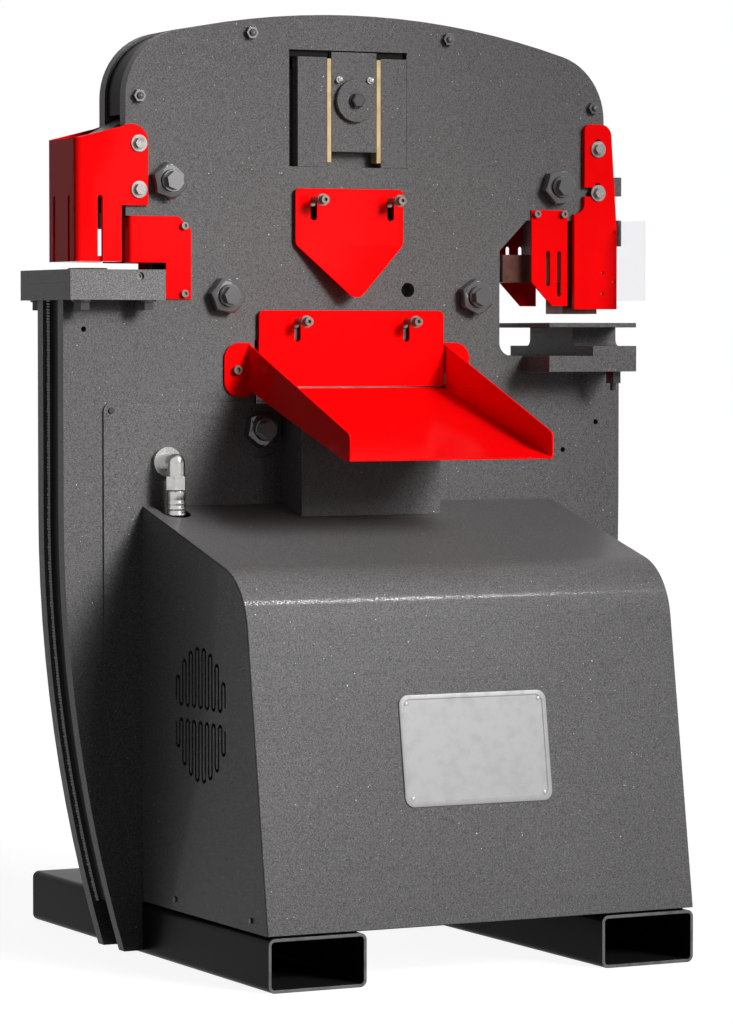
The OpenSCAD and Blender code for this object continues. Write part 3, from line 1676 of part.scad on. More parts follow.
// Punch of the notcher, with the stem that hangs from the ram
module notch_punch() {
  color("saddlebrown") {
    holder_low = notch_punch_z + notch_head_h;
    holder_top = holder_low + notch_holder_h;
    notch_hole(notch_punch_z, notch_head_h, -tool_clear);
    block([notch_holder_x, ram_y, holder_low], [notch_reach - notch_hole_wall, ram_y + ram_t, holder_top]);
    block([notch_stem_x, ram_y, holder_top], [notch_stem_right, ram_y + ram_t, ram_arm_z]);
  }
}

module notcher_guard() {
  step_z = right_throat_top + notch_bolt_rises[0];
  foot_top = right_throat_top + notch_fillet_r;
  turn = notch_guard_turn;
  color("red") along_y(frame_y - side_clear - notch_guard_t, notch_guard_t) difference() {
    rounded_polygon([[notch_guard_left, notch_guard_z], [notch_guard_left, foot_top],
      [notch_guard_neck, foot_top + turn], [notch_guard_neck, notch_guard_top],
      [notch_guard_shoulder, notch_guard_top], [notch_guard_right, right_throat_top - notch_guard_slant_drop],
      [notch_guard_right, notch_guard_z]], [0, 0, 0, notch_fillet_r, notch_guard_r, 0, 0]);
    translate([notch_guard_left, foot_top + turn]) circle(r = turn);
    for (p = notch_bolt_spots) translate([p[0], p[1] - notch_slot / 2])
      slot(notch_slot, notch_slot + notch_guard_drop);
    translate([notch_guard_left, step_z - notch_slot / 2])
      square([notch_bolt_x - notch_guard_left, notch_hook_w]);
    for (p = notch_guard_holes) translate([notch_guard_right - p[0], notch_guard_z + p[1]])
      circle(d = notch_guard_hole_d);
  }
}

module notch_guard_outline(slots) {
  top = right_throat_top + pent_rise;
  difference() {
    polygon([[pent_left, pent_z + pent_chamfer], [pent_left, top], [pent_right, top], [pent_right, pent_z],
      [pent_left + pent_chamfer, pent_z]]);
    for (p = slots) translate([pent_left + p[0], pent_z + p[1]]) slot(pent_slot_w, p[2] - p[1]);
    holes(pent_screw_spots, screw_d + 2 * hole_clear);
  }
}

module notch_guards() {
  color("red") {
    along_y(frame_y - sheet_t, sheet_t) notch_guard_outline(pent_slots[0]);
    along_y(back_y, sheet_t) notch_guard_outline(pent_slots[1]);
  }
}

module end_shield() {
  color("white", 0.4) block([shield_x - shield_t, mid_y - shield_d / 2, shield_z],
    [shield_x, mid_y + shield_d / 2, shield_z + shield_h]);
}

// Bracket that carries the shield from the edges of the right upper jaw, notched in front
module shield_bracket() {
  x = shield_x - shield_t - shield_bracket_t;
  color("dimgray") {
    difference() {
      block([x, frame_y, shield_bracket_z], [x + shield_bracket_t, back_y, shield_bracket_top]);
      block([x - overrun, frame_y - overrun, shield_notch_z],
        [x + shield_bracket_t + overrun, gap_back_y, shield_lug_z]);
    }
    for (y = [frame_y, gap_back_y])
      block([right_arm_w, y, shield_lug_z], [x, y + plate_t, shield_bracket_top]);
  }
}

front_plate();
rear_plate();
left_tube();
right_tube();
jaw_webs();
top_band();
band_bolts();
tie_rods();
tie_nuts();
gib_blocks();
brass_gibs();
lower_shear_blade();
lower_angle_blade();
punch_bolster();
punch_table();
punch_die();
hex_bolts();
socket_screws();
guard_studs();
throat_guards();
shear_tray();
front_cylinder_box();
rear_cylinder_box();
cylinder_barrel();
cylinder_gland();
cylinder_pin();
access_panel();
panel_screws();
hose_elbow();
hose();
cover_shell();
cover_left_side();
cover_right_side();
power_pan();
reservoir();
shaft_coupling();
motor();
bell_housing();
pump();
valve_block();
notcher_brackets();
notcher_die();
notcher_table();
notch_guards();
end_shield();
shield_bracket();
ram_plate();
slide_blocks();
ram_pin();
upper_shear_blade();
upper_angle_blade();
punch_holder();
punch();
notch_punch();
piston_rod();
rod_pin();
punch_guard();
angle_guard();
shear_guard();
notcher_guard();
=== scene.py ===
"""Finishes, rounded edges and fine detail of a hydraulic ironworker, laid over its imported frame.

Lengths are in metres and angles in degrees.
"""
import json
import logging
import math
from dataclasses import dataclass
from enum import Enum
from typing import Any, Callable, Iterable, Sequence

import bmesh
import bpy
from mathutils import Matrix, Vector

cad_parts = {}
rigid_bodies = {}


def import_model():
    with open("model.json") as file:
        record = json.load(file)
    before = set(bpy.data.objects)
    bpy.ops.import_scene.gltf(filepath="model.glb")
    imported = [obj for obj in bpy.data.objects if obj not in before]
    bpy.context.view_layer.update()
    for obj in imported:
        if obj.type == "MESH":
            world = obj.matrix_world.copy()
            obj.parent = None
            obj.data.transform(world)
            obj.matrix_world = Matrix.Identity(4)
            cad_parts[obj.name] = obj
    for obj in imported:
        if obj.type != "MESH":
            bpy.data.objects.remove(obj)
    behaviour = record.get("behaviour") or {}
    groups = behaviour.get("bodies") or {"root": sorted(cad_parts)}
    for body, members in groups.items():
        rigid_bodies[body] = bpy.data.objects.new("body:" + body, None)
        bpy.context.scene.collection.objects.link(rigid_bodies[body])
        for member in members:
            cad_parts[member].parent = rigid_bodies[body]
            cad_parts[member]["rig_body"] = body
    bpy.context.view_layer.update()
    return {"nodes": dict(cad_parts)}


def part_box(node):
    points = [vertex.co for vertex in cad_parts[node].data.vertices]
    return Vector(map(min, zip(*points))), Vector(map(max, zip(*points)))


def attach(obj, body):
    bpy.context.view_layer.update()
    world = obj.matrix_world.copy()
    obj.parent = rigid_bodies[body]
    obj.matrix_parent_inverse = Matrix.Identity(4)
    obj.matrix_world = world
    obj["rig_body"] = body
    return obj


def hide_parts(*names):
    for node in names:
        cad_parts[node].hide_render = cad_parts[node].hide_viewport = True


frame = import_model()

log = logging.getLogger("ironworker")

Colour = tuple[float, float, float]
Point = tuple[float, float, float]
Pair = tuple[float, float]
FIXED, MOVING = "machine_frame", "ram"
FRONTWARDS = Matrix.Rotation(math.radians(90.0), 4, "X")
WHITE: Colour = (1.0, 1.0, 1.0)
EVEN: Point = (1.0, 1.0, 1.0)
NOISE_MEAN = 0.5
MERGE = 2e-6  # corners that are closer are one
FLAT = 0.1  # faces that meet at less are one
CREASE = 35.0  # sharper edges stay hard
UNROUNDED = 0.0


def maths(operation: str) -> tuple[Callable[..., "Sock"], Callable[..., "Sock"]]:
    """Makes an operator of Sock and its reflected form; each adds one Math node.

    Args:
        operation: Name of the Math node's operation.

    Returns:
        The operator with its Sock on the left, and the one with a number on the left.
    """
    def plain(self: "Sock", other: Any) -> "Sock":
        """The operation on this value and another."""
        return self.graph.node("ShaderNodeMath", {"operation": operation}, {0: self, 1: other})

    def reflected(self: "Sock", other: Any) -> "Sock":
        """The operation on another value and this one."""
        return self.graph.node("ShaderNodeMath", {"operation": operation}, {0: other, 1: self})

    return plain, reflected


class Sock:
    """A value in a node tree, so that maths on it reads as a plain expression; | is the larger of two."""

    __add__, __radd__ = maths("ADD")
    __sub__, __rsub__ = maths("SUBTRACT")
    __mul__, __rmul__ = maths("MULTIPLY")
    __or__, __ror__ = maths("MAXIMUM")

    def __init__(self, graph: "Graph", socket: bpy.types.NodeSocket) -> None:
        """Keeps the tree and the output that carries the value."""
        self.graph = graph
        self.socket = socket


class Graph:
    """Adds nodes to one shader or geometry tree."""

    def __init__(self, tree: bpy.types.NodeTree) -> None:
        """Takes the tree that the nodes go into, and empties it."""
        self.tree = tree
        tree.nodes.clear()

    def node(self, kind: str, settings: dict[str, Any] | None = None,
             sockets: dict[Any, Any] | None = None, out: int | str = 0) -> Sock:
        """Adds a node.

        Args:
            kind: The node's type.
            settings: Its properties, which are set before its sockets.
            sockets: Values or links of its inputs, by name or index.
            out: Which output comes back, by name or index.

        Returns:
            The chosen output.
        """
        item = self.tree.nodes.new(kind)
        for key, value in (settings or {}).items():
            setattr(item, key, value)
        for key, value in (sockets or {}).items():
            self.feed(item.inputs[key], value)
        return Sock(self, item.outputs[out])

    def feed(self, socket: bpy.types.NodeSocket, value: Any) -> None:
        """Links or sets one input.

        Args:
            socket: The input.
            value: A Sock to link, or a value to set; a colour gets its alpha.
        """
        if isinstance(value, Sock):
            self.tree.links.new(value.socket, socket)
        elif socket.type == "RGBA":
            socket.default_value = (*value[:3], 1.0)
        else:
            socket.default_value = value

    def end(self, kind: str, socket: str, value: Sock) -> None:
        """Links a value to a tree's output node."""
        self.feed(self.tree.nodes.new(kind).inputs[socket], value)

    def noise(self, scale: float, detail: float = 2.0, roughness: float = 0.5, stretch: Point = EVEN) -> Sock:
        """Noise from 0 to 1 over the object, with a scale in features per metre, stretched along the axes."""
        place = self.node("ShaderNodeMapping", None,
                          {"Vector": self.node("ShaderNodeTexCoord", out="Object"), "Scale": stretch}, out="Vector")
        return self.node("ShaderNodeTexNoise", None,
                         {"Vector": place, "Scale": scale, "Detail": detail, "Roughness": roughness})

    def step(self, value: Sock, edges: Pair) -> Sock:
        """Smooth step: 0 below the first edge, 1 above the second."""
        return self.node("ShaderNodeMapRange", {"interpolation_type": "SMOOTHSTEP"},
                         {"Value": value, "From Min": edges[0], "From Max": edges[1]})

    def patches(self, scale: float, edges: Pair, detail: float = 1.0, roughness: float = 0.5,
                stretch: Point = EVEN) -> Sock:
        """Mask of soft patches, where noise is above a smooth step."""
        return self.step(self.noise(scale, detail, roughness, stretch), edges)

    def blend(self, mask: Any, first: Any, second: Any) -> Sock:
        """Mixes two colours by a mask."""
        return self.node("ShaderNodeMix", {"data_type": "RGBA"}, {0: mask, 6: first, 7: second}, out=2)

    def bump(self, height: Sock, depth: float, strength: float) -> Sock:
        """Normal from a height field of a given depth in metres."""
        return self.node("ShaderNodeBump", None,
                         {"Strength": strength, "Distance": depth, "Height": height}, out="Normal")

    def seen(self) -> Sock:
        """1 for rays from the camera and those mirrored or let through, 0 for light on the object."""
        camera, glossy, clear = (self.node("ShaderNodeLightPath", out=name)
                                 for name in ("Is Camera Ray", "Is Glossy Ray", "Is Transmission Ray"))
        return camera | glossy | clear


def dimmed(colour: Colour, share: float) -> Colour:
    """A colour at a share of its brightness."""
    return tuple(part * share for part in colour)


@dataclass(frozen=True)
class Finish:
    """What every finish has: a name, a colour and the gloss of its shader."""

    name: str
    colour: Colour
    roughness: float
    metallic: float = 0.0
    specular: float = 0.5
    coat: float = 0.0
    coat_roughness: float = 0.1

    def material(self) -> bpy.types.Material:
        """Makes the material, or finds it if it was made before.

        Returns:
            The material.
        """
        known = bpy.data.materials.get(self.name)
        if known:
            return known
        made = bpy.data.materials.new(self.name)
        made.use_nodes = True
        graph = Graph(made.node_tree)
        sockets: dict[str, Any] = {"Base Color": self.colour, "Roughness": self.roughness,
                                   "Metallic": self.metallic, "Specular IOR Level": self.specular,
                                   "Coat Weight": self.coat, "Coat Roughness": self.coat_roughness}
        sockets.update(self.pattern(graph))
        graph.end("ShaderNodeOutputMaterial", "Surface",
                  graph.node("ShaderNodeBsdfPrincipled", None, sockets))
        return made

    def pattern(self, graph: Graph) -> dict[str, Any]:
        """Sockets that vary over the surface; a plain finish has none.

        Args:
            graph: The material's tree.

        Returns:
            Values by the shader's socket names.
        """
        return {}


@dataclass(frozen=True)
class WrinkleCoat(Finish):
    """Dark powder coat with a fine wrinkle and pale metal flecks, with painted shade in the wrinkles' valleys and
    sparse painted glints.
    """

    fleck: Colour = (0.2, 0.2, 0.2)
    grain: float = 430.0
    depth: float = 0.0005
    relief: float = 0.4
    crests: Pair = (0.36, 0.58)
    # painted shade: share of the colour left in the wrinkles' valleys
    painted_valley_shade: float = 0.55
    fleck_grain: float = 1.7
    flecks: Pair = (0.52, 0.74)
    fleck_share: float = 0.55
    # painted highlights: colour, scale and spread of sparse glint specks
    painted_glint: Colour = (0.8, 0.8, 0.8)
    painted_glint_scale: float = 330.0
    painted_glints: Pair = (0.79, 0.81)
    gloss_grain: float = 1.4
    gloss_spots: Pair = (0.5, 0.66)
    drift_scale: float = 2.5
    drift_colour: float = 0.25
    drift_gloss: float = 0.1
    wrinkle_gloss: float = 0.3

    def pattern(self, graph: Graph) -> dict[str, Any]:
        """Wrinkles with flecks on their crests, painted shade in their valleys, slow drifts of tone and sparse
        painted glints.

        Args:
            graph: The material's tree.

        Returns:
            Values by the shader's socket names.
        """
        wrinkle = graph.noise(self.grain, detail=3.0, roughness=0.6)
        drift = graph.noise(self.drift_scale) - NOISE_MEAN
        flecks = graph.patches(self.grain * self.fleck_grain, self.flecks) * self.fleck_share
        # painted shade: the wrinkles' valleys are darker than their crests
        coat = graph.blend(graph.step(wrinkle, self.crests), dimmed(self.colour, self.painted_valley_shade), self.colour)
        flecked = graph.blend(flecks + drift * self.drift_colour, coat, self.fleck)
        # painted highlights: sparse near-white specks in the colour stand for glints on the wrinkles
        painted_glints = graph.patches(self.painted_glint_scale, self.painted_glints)
        return {"Base Color": graph.blend(painted_glints, flecked, self.painted_glint),
                "Roughness": (self.roughness + (wrinkle - NOISE_MEAN) * self.wrinkle_gloss
                              + drift * self.drift_gloss),
                "Coat Weight": self.coat * graph.patches(self.grain * self.gloss_grain, self.gloss_spots),
                "Normal": graph.bump(wrinkle, self.depth, self.relief)}


@dataclass(frozen=True)
class GlossCoat(Finish):
    """Glossy coat with orange peel, faint dust and slow drifts of tone."""

    peel: float = 170.0
    depth: float = 0.0004
    relief: float = 0.12
    shade: float = 0.82
    wear_scale: float = 9.0
    worn: Pair = (0.3, 0.7)
    wear_gloss: float = 0.12
    scuff_stretch: Point = (1.0, 1.0, 0.16)
    scuff_scale: float = 260.0
    scuffs: Pair = (0.66, 0.8)
    scuff_gloss: float = 0.08

    def pattern(self, graph: Graph) -> dict[str, Any]:
        """Orange peel in the normal, wear in the roughness and a little shade in the colour.

        Args:
            graph: The material's tree.

        Returns:
            Values by the shader's socket names.
        """
        wear = graph.noise(self.wear_scale, detail=4.0, roughness=0.65)
        scuff = graph.patches(self.scuff_scale, self.scuffs, detail=3.0, stretch=self.scuff_stretch)
        dark = dimmed(self.colour, self.shade)
        return {"Base Color": graph.blend(graph.step(wear, self.worn), dark, self.colour),
                "Roughness": self.roughness + (wear - NOISE_MEAN) * self.wear_gloss + scuff * self.scuff_gloss,
                "Normal": graph.bump(graph.noise(self.peel), self.depth, self.relief)}


@dataclass(frozen=True)
class CutMetal(Finish):
    """Machined metal with tool lines along one axis and patches of stain."""

    stain: Colour = (0.2, 0.18, 0.16)
    lines: Point = (40.0, 900.0, 900.0)
    depth: float = 0.00015
    relief: float = 0.4
    line_gloss: float = 0.25
    stain_scale: float = 55.0
    stains: Pair = (0.42, 0.68)
    stain_share: float = 0.5
    stain_gloss: float = 0.12

    def pattern(self, graph: Graph) -> dict[str, Any]:
        """Fine lines with patches of stain.

        Args:
            graph: The material's tree.

        Returns:
            Values by the shader's socket names.
        """
        line = graph.noise(1.0, detail=3.0, roughness=0.6, stretch=self.lines)
        patch = graph.patches(self.stain_scale, self.stains, detail=4.0, roughness=0.6)
        return {"Base Color": graph.blend(patch * self.stain_share, self.colour, self.stain),
                "Roughness": self.roughness + (line - NOISE_MEAN) * self.line_gloss + patch * self.stain_gloss,
                "Normal": graph.bump(line, self.depth, self.relief)}


@dataclass(frozen=True)
class ClearSheet(Finish):
    """Clear plastic sheet with faint wipe marks."""

    index: float = 1.08
    wipe_stretch: Point = (1.0, 30.0, 8.0)
    wipe_scale: float = 9.0
    wipes: Pair = (0.55, 0.8)
    wipe_gloss: float = 0.06

    def pattern(self, graph: Graph) -> dict[str, Any]:
        """Transmission all over, and wipe marks in the roughness."""
        wipe = graph.patches(self.wipe_scale, self.wipes, detail=3.0, stretch=self.wipe_stretch)
        return {"Transmission Weight": 1.0, "IOR": self.index, "Roughness": self.roughness + wipe * self.wipe_gloss}


class Coat(Enum):
    """The machine's finishes."""

    FRAME = WrinkleCoat("dark_wrinkle_coat", (0.112, 0.11, 0.109), 0.42, specular=0.1,
                        coat=0.3, fleck=(0.26, 0.257, 0.255))
    TABLE = WrinkleCoat("pale_wrinkle_coat", (0.16, 0.158, 0.156), 0.4, specular=0.08,
                        coat=0.3, fleck=(0.42, 0.415, 0.41))
    BLACK = GlossCoat("black_gloss_coat", (0.013, 0.013, 0.014), 0.3, specular=0.025)
    SEAM = GlossCoat("black_seam_coat", (0.02, 0.02, 0.021), 0.12, specular=0.5,
                     coat=0.7, coat_roughness=0.06)
    RED = GlossCoat("red_gloss_coat", (0.9, 0.0016, 0.0026), 0.14, specular=0.02, shade=0.94)
    NUT = GlossCoat("grey_nut_coat", (0.06, 0.06, 0.06), 0.2, specular=0.4,
                    coat=0.9, coat_roughness=0.06, peel=420.0, relief=0.2)
    FASTENER = GlossCoat("dark_fastener_coat", (0.045, 0.045, 0.047), 0.24, specular=0.3,
                         peel=420.0, relief=0.25)
    BRONZED = CutMetal("bronzed_screw_steel", (0.2, 0.185, 0.16), 0.3, metallic=0.35,
                       stain=(0.06, 0.05, 0.045), lines=(400.0, 400.0, 400.0))
    ZINC = CutMetal("dull_zinc", (0.3, 0.285, 0.265), 0.28, metallic=0.35,
                    stain=(0.1, 0.09, 0.08), lines=(300.0, 300.0, 300.0))
    CUT_END = CutMetal("worn_tube_end", (0.12, 0.12, 0.12), 0.4, metallic=0.2,
                       stain=(0.03, 0.03, 0.03), lines=(300.0, 300.0, 300.0))
    BRIGHT = CutMetal("bright_plating", (0.55, 0.55, 0.54), 0.26, metallic=1.0,
                      stain=(0.3, 0.29, 0.27), lines=(500.0, 500.0, 60.0), stain_share=0.35)
    MACHINED = CutMetal("oiled_steel", (0.105, 0.102, 0.1), 0.4, metallic=0.75,
                        stain=(0.05, 0.045, 0.04), lines=(700.0, 700.0, 60.0))
    TOOL = CutMetal("tempered_tool_steel", (0.1, 0.041, 0.031), 0.36, metallic=0.8,
                    stain=(0.045, 0.018, 0.014), lines=(60.0, 800.0, 800.0))
    GROUND = CutMetal("ground_blade_steel", (0.32, 0.31, 0.3), 0.3, metallic=0.95,
                      stain=(0.15, 0.13, 0.11), lines=(40.0, 900.0, 900.0))
    BRASS = CutMetal("machined_brass", (0.52, 0.39, 0.2), 0.42, metallic=0.25,
                     stain=(0.4, 0.28, 0.12), lines=(900.0, 900.0, 50.0))
    CHROME = CutMetal("hard_chrome", (0.66, 0.67, 0.68), 0.12, metallic=1.0,
                      stain=(0.5, 0.5, 0.5), lines=(60.0, 60.0, 900.0), stain_share=0.2)
    CASTING = WrinkleCoat("cast_grey_coat", (0.08, 0.085, 0.09), 0.5, metallic=0.1,
                          fleck=(0.12, 0.125, 0.13))
    RUBBER = GlossCoat("black_hose_rubber", (0.012, 0.012, 0.012), 0.5, peel=900.0, relief=0.3)
    PLATE = CutMetal("satin_plate", (0.36, 0.36, 0.36), 0.42, metallic=0.4,
                     stain=(0.3, 0.3, 0.3), lines=(30.0, 1400.0, 1400.0), stain_share=0.3)
    CLEAR = ClearSheet("clear_shield_sheet", (0.875, 0.88, 0.905), 0.03)


def link(name: str, data: bpy.types.ID) -> bpy.types.Object:
    """Puts a mesh, lamp or camera into the scene.

    Args:
        name: Name of the new object.
        data: What it holds; a mesh has its place in its vertices.

    Returns:
        The object.
    """
    made = bpy.data.objects.new(name, data)
    bpy.context.scene.collection.objects.link(made)
    return made


def bake(piece: bpy.types.Object) -> None:
    """Turns a piece's modifiers into a plain mesh.

    Args:
        piece: The piece.
    """
    graph = bpy.context.evaluated_depsgraph_get()
    mesh = bpy.data.meshes.new_from_object(piece.evaluated_get(graph))
    piece.modifiers.clear()
    piece.data = mesh


def settle(piece: bpy.types.Object, body: str) -> bpy.types.Object:
    """Ties a finished piece to its body.

    Args:
        piece: The piece.
        body: Name of the body it moves with.

    Returns:
        The same piece.
    """
    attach(piece, body)
    log.info("%s: %d faces on %s", piece.name, len(piece.data.polygons), body)
    return piece


def circle(shape: bmesh.types.BMesh, radius: float, height: float, turns: int) -> list[bmesh.types.BMVert]:
    """Adds a ring of points about the Z axis."""
    corners = [math.tau * k / turns for k in range(turns)]
    return [shape.verts.new((radius * math.cos(turn), radius * math.sin(turn), height)) for turn in corners]


def skin(shape: bmesh.types.BMesh, rings: Sequence[Sequence[bmesh.types.BMVert]]) -> None:
    """Joins rings by faces, and closes the first and the last.

    Args:
        shape: The mesh that the rings are in.
        rings: Rings with the same count of points, from the foot to the tip.
    """
    for lower, upper in zip(rings, rings[1:]):
        for k in range(len(lower)):
            n = (k + 1) % len(lower)
            shape.faces.new((lower[k], lower[n], upper[n], upper[k]))
    shape.faces.new(list(reversed(rings[0])))
    shape.faces.new(rings[-1])
    bmesh.ops.recalc_face_normals(shape, faces=shape.faces)


def lathe(profile: Iterable[Pair], turns: int, at: Matrix) -> bmesh.types.BMesh:
    """Revolves a profile about its own axis.

    Args:
        profile: Pairs of radius and height, from the foot to the tip.
        turns: Faces around.
        at: Where the axis stands.

    Returns:
        A closed mesh.
    """
    shape = bmesh.new()
    skin(shape, [circle(shape, radius, height, turns) for radius, height in profile])
    bmesh.ops.transform(shape, matrix=at, verts=shape.verts)
    return shape


def to_mesh(name: str, shape: bmesh.types.BMesh) -> bpy.types.Mesh:
    """Writes a mesh out, smooth but for its sharp edges.

    Args:
        name: Name of the mesh.
        shape: What to write; it is freed.

    Returns:
        The mesh.
    """
    mesh = bpy.data.meshes.new(name)
    shape.to_mesh(mesh)
    shape.free()
    mesh.shade_smooth()
    mesh.set_sharp_from_angle(angle=math.radians(CREASE))
    return mesh


def new_piece(name: str, shape: bmesh.types.BMesh, coat: Coat) -> bpy.types.Object:
    """Makes a piece of the frame from a shape.

    Args:
        name: Name of the piece.
        shape: Its shape; it is freed.
        coat: Its finish.

    Returns:
        The piece.
    """
    piece = link(name, to_mesh(name, shape))
    piece.data.materials.append(coat.value.material())
    return settle(piece, FIXED)


def loose_islands(mesh: bpy.types.Mesh) -> list[tuple[Vector, Vector]]:
    """Boxes of a mesh's separate solids.

    Args:
        mesh: A CAD node's mesh.

    Returns:
        Lowest and highest corner of each solid.
    """
    shape = bmesh.new()
    shape.from_mesh(mesh)
    bmesh.ops.remove_doubles(shape, verts=shape.verts, dist=MERGE)
    left = set(shape.verts)
    boxes = []
    for first in shape.verts:
        if first not in left:
            continue
        left.remove(first)
        stack, island = [first], []
        while stack:
            vert = stack.pop()
            island.append(vert.co.copy())
            near = left.intersection(edge.other_vert(vert) for edge in vert.link_edges)
            left -= near
            stack.extend(near)
        boxes.append(tuple(Vector(pick(co[k] for co in island) for k in range(3)) for pick in (min, max)))
    shape.free()
    return boxes


@dataclass(frozen=True)
class Dress:
    """How one CAD node is finished: its coat, the rounding of its edges, and a coat for picked faces."""

    node: str
    coat: Coat
    edge: float = UNROUNDED
    steps: int = 2
    sharp: float = 30.0
    second: Coat | None = None
    picked: Callable[[Vector], bool] | None = None

    def apply(self) -> None:
        """Coats the node, or a copy with rounded edges that stands for it."""
        cad = frame["nodes"][self.node]
        coat = self.coat.value.material()
        if not self.edge:
            cad.data.materials.clear()
            cad.data.materials.append(coat)
            log.info("%s: coated as it is", self.node)
            return
        shape = bmesh.new()
        shape.from_mesh(cad.data)
        bmesh.ops.remove_doubles(shape, verts=shape.verts, dist=MERGE)
        bmesh.ops.dissolve_limit(shape, angle_limit=math.radians(FLAT), verts=shape.verts, edges=shape.edges)
        piece = link(f"{self.node}_finished", to_mesh(self.node, shape))
        piece.data.materials.append(coat)
        rounding = piece.modifiers.new("rounding", "BEVEL")
        rounding.width = self.edge
        rounding.segments = self.steps
        rounding.limit_method = "ANGLE"
        rounding.angle_limit = math.radians(self.sharp)
        rounding.harden_normals = True
        bake(piece)
        if self.second:
            piece.data.materials.append(self.second.value.material())
            for face in piece.data.polygons:
                face.material_index = int(self.picked(face.center))
        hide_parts(self.node)
        settle(piece, cad["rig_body"])


def dress(coat: Coat, edge: float, *nodes: str) -> None:
    """Finishes some nodes alike."""
    for node in nodes:
        Dress(node, coat, edge).apply()


class RepeatTree:
    """Geometry tree that sets one shape many times, along paths or on spots."""

    def __init__(self, name: str, **inputs: str) -> None:
        """Args:
            name: Name of the tree.
            inputs: Kinds of its own inputs by their names.
        """
        self.name = name
        self.group = bpy.data.node_groups.new(name, "GeometryNodeTree")
        self.graph = Graph(self.group)
        self.keys: dict[str, str] = {}
        for label, kind in {"Geometry": "Geometry", **inputs, "Material": "Material"}.items():
            made = self.group.interface.new_socket(label, in_out="INPUT", socket_type=f"NodeSocket{kind}")
            self.keys[label] = made.identifier
        self.group.interface.new_socket("Geometry", in_out="OUTPUT", socket_type="NodeSocketGeometry")
        self.start = self.group.nodes.new("NodeGroupInput")
        self.shape()

    def value(self, label: str) -> Sock:
        """One of the tree's inputs."""
        return Sock(self.graph, self.start.outputs[label])

    def shape(self) -> None:
        """Fills the tree; each kind of tree has its own."""

    def path(self) -> Sock:
        """The incoming edges as a curve with points at the tree's pitch."""
        curve = self.graph.node("GeometryNodeMeshToCurve", None, {"Mesh": self.value("Geometry")})
        return self.graph.node("GeometryNodeResampleCurve", {"mode": "LENGTH"},
                               {"Curve": curve, "Length": self.value("Pitch")})

    def along(self, axis: str) -> Sock:
        """A turn that lays one axis of the shape along the path."""
        tangent = self.graph.node("GeometryNodeInputTangent")
        return self.graph.node("FunctionNodeAlignRotationToVector", {"axis": axis}, {"Vector": tangent})

    def close(self, points: Sock, instance: Sock, more: dict[str, Any]) -> None:
        """Sets the shape on the points, makes it real and coats it.

        Args:
            points: Where it goes.
            instance: The shape.
            more: Other inputs of the instancing node.
        """
        graph = self.graph
        many = graph.node("GeometryNodeInstanceOnPoints", None, {"Points": points, "Instance": instance, **more})
        real = graph.node("GeometryNodeRealizeInstances", None, {"Geometry": many})
        smooth = graph.node("GeometryNodeSetShadeSmooth", None, {0: real})
        coated = graph.node("GeometryNodeSetMaterial", None,
                            {"Geometry": smooth, "Material": self.value("Material")})
        graph.end("NodeGroupOutput", "Geometry", coated)

    def run(self, name: str, lines: Iterable[Sequence[Point]], coat: Coat, body: str, slot: str,
            **values: Any) -> bpy.types.Object:
        """Makes one piece with the tree.

        Args:
            name: Name of the piece.
            lines: Paths, each a list of points; a path of one point is a spot.
            coat: The piece's finish.
            body: Body it moves with.
            slot: Its material slot; not used.
            values: The tree's other inputs, by label.

        Returns:
            The piece.
        """
        points: list[Point] = []
        edges: list[tuple[int, int]] = []
        for line in lines:
            first = len(points)
            points.extend(line)
            edges.extend((k, k + 1) for k in range(first, len(points) - 1))
        mesh = bpy.data.meshes.new(name)
        mesh.from_pydata(points, edges, [])
        piece = link(name, mesh)
        modifier = piece.modifiers.new(self.name, "NODES")
        modifier.node_group = self.group
        for label, value in {**values, "Material": coat.value.material()}.items():
            modifier[self.keys[label]] = value
        bake(piece)
        return settle(piece, body)


class BeadTree(RepeatTree):
    """Weld seam: overlapping ripples along a path."""

    FINENESS = 2
    CHANGE: Pair = (0.82, 1.12)
    OVERLAP = 0.95

    def __init__(self) -> None:
        """Names the seam's sizes."""
        super().__init__("weld_ripples", Pitch="Float", Width="Float", Seed="Int")

    def shape(self) -> None:
        """A small ball, squeezed along the path and changed a little from ripple to ripple."""
        graph = self.graph
        ball = graph.node("GeometryNodeMeshIcoSphere", None, {"Radius": 1.0, "Subdivisions": self.FINENESS})
        change = graph.node("FunctionNodeRandomValue", {"data_type": "FLOAT"},
                            {2: self.CHANGE[0], 3: self.CHANGE[1], 8: self.value("Seed")}, out=1)
        across = self.value("Width") * 0.5 * change
        size = graph.node("ShaderNodeCombineXYZ", None,
                          {0: self.value("Pitch") * self.OVERLAP, 1: across, 2: across})
        self.close(self.path(), ball, {"Rotation": self.along("X"), "Scale": size})


class RingTree(RepeatTree):
    """Rings along a path, as on a thread."""

    LOOP_POINTS = 40
    WIRE_POINTS = 8

    def __init__(self) -> None:
        """Names the rings' sizes."""
        super().__init__("ring_rows", Pitch="Float", Radius="Float", Wire="Float")

    def shape(self) -> None:
        """A ring of round wire, square to the path."""
        graph = self.graph
        loop, wire = (graph.node("GeometryNodeCurvePrimitiveCircle", None,
                                 {"Resolution": points, "Radius": self.value(label)})
                      for points, label in ((self.LOOP_POINTS, "Radius"), (self.WIRE_POINTS, "Wire")))
        ring = graph.node("GeometryNodeCurveToMesh", None, {"Curve": loop, "Profile Curve": wire})
        self.close(self.path(), ring, {"Rotation": self.along("Z")})


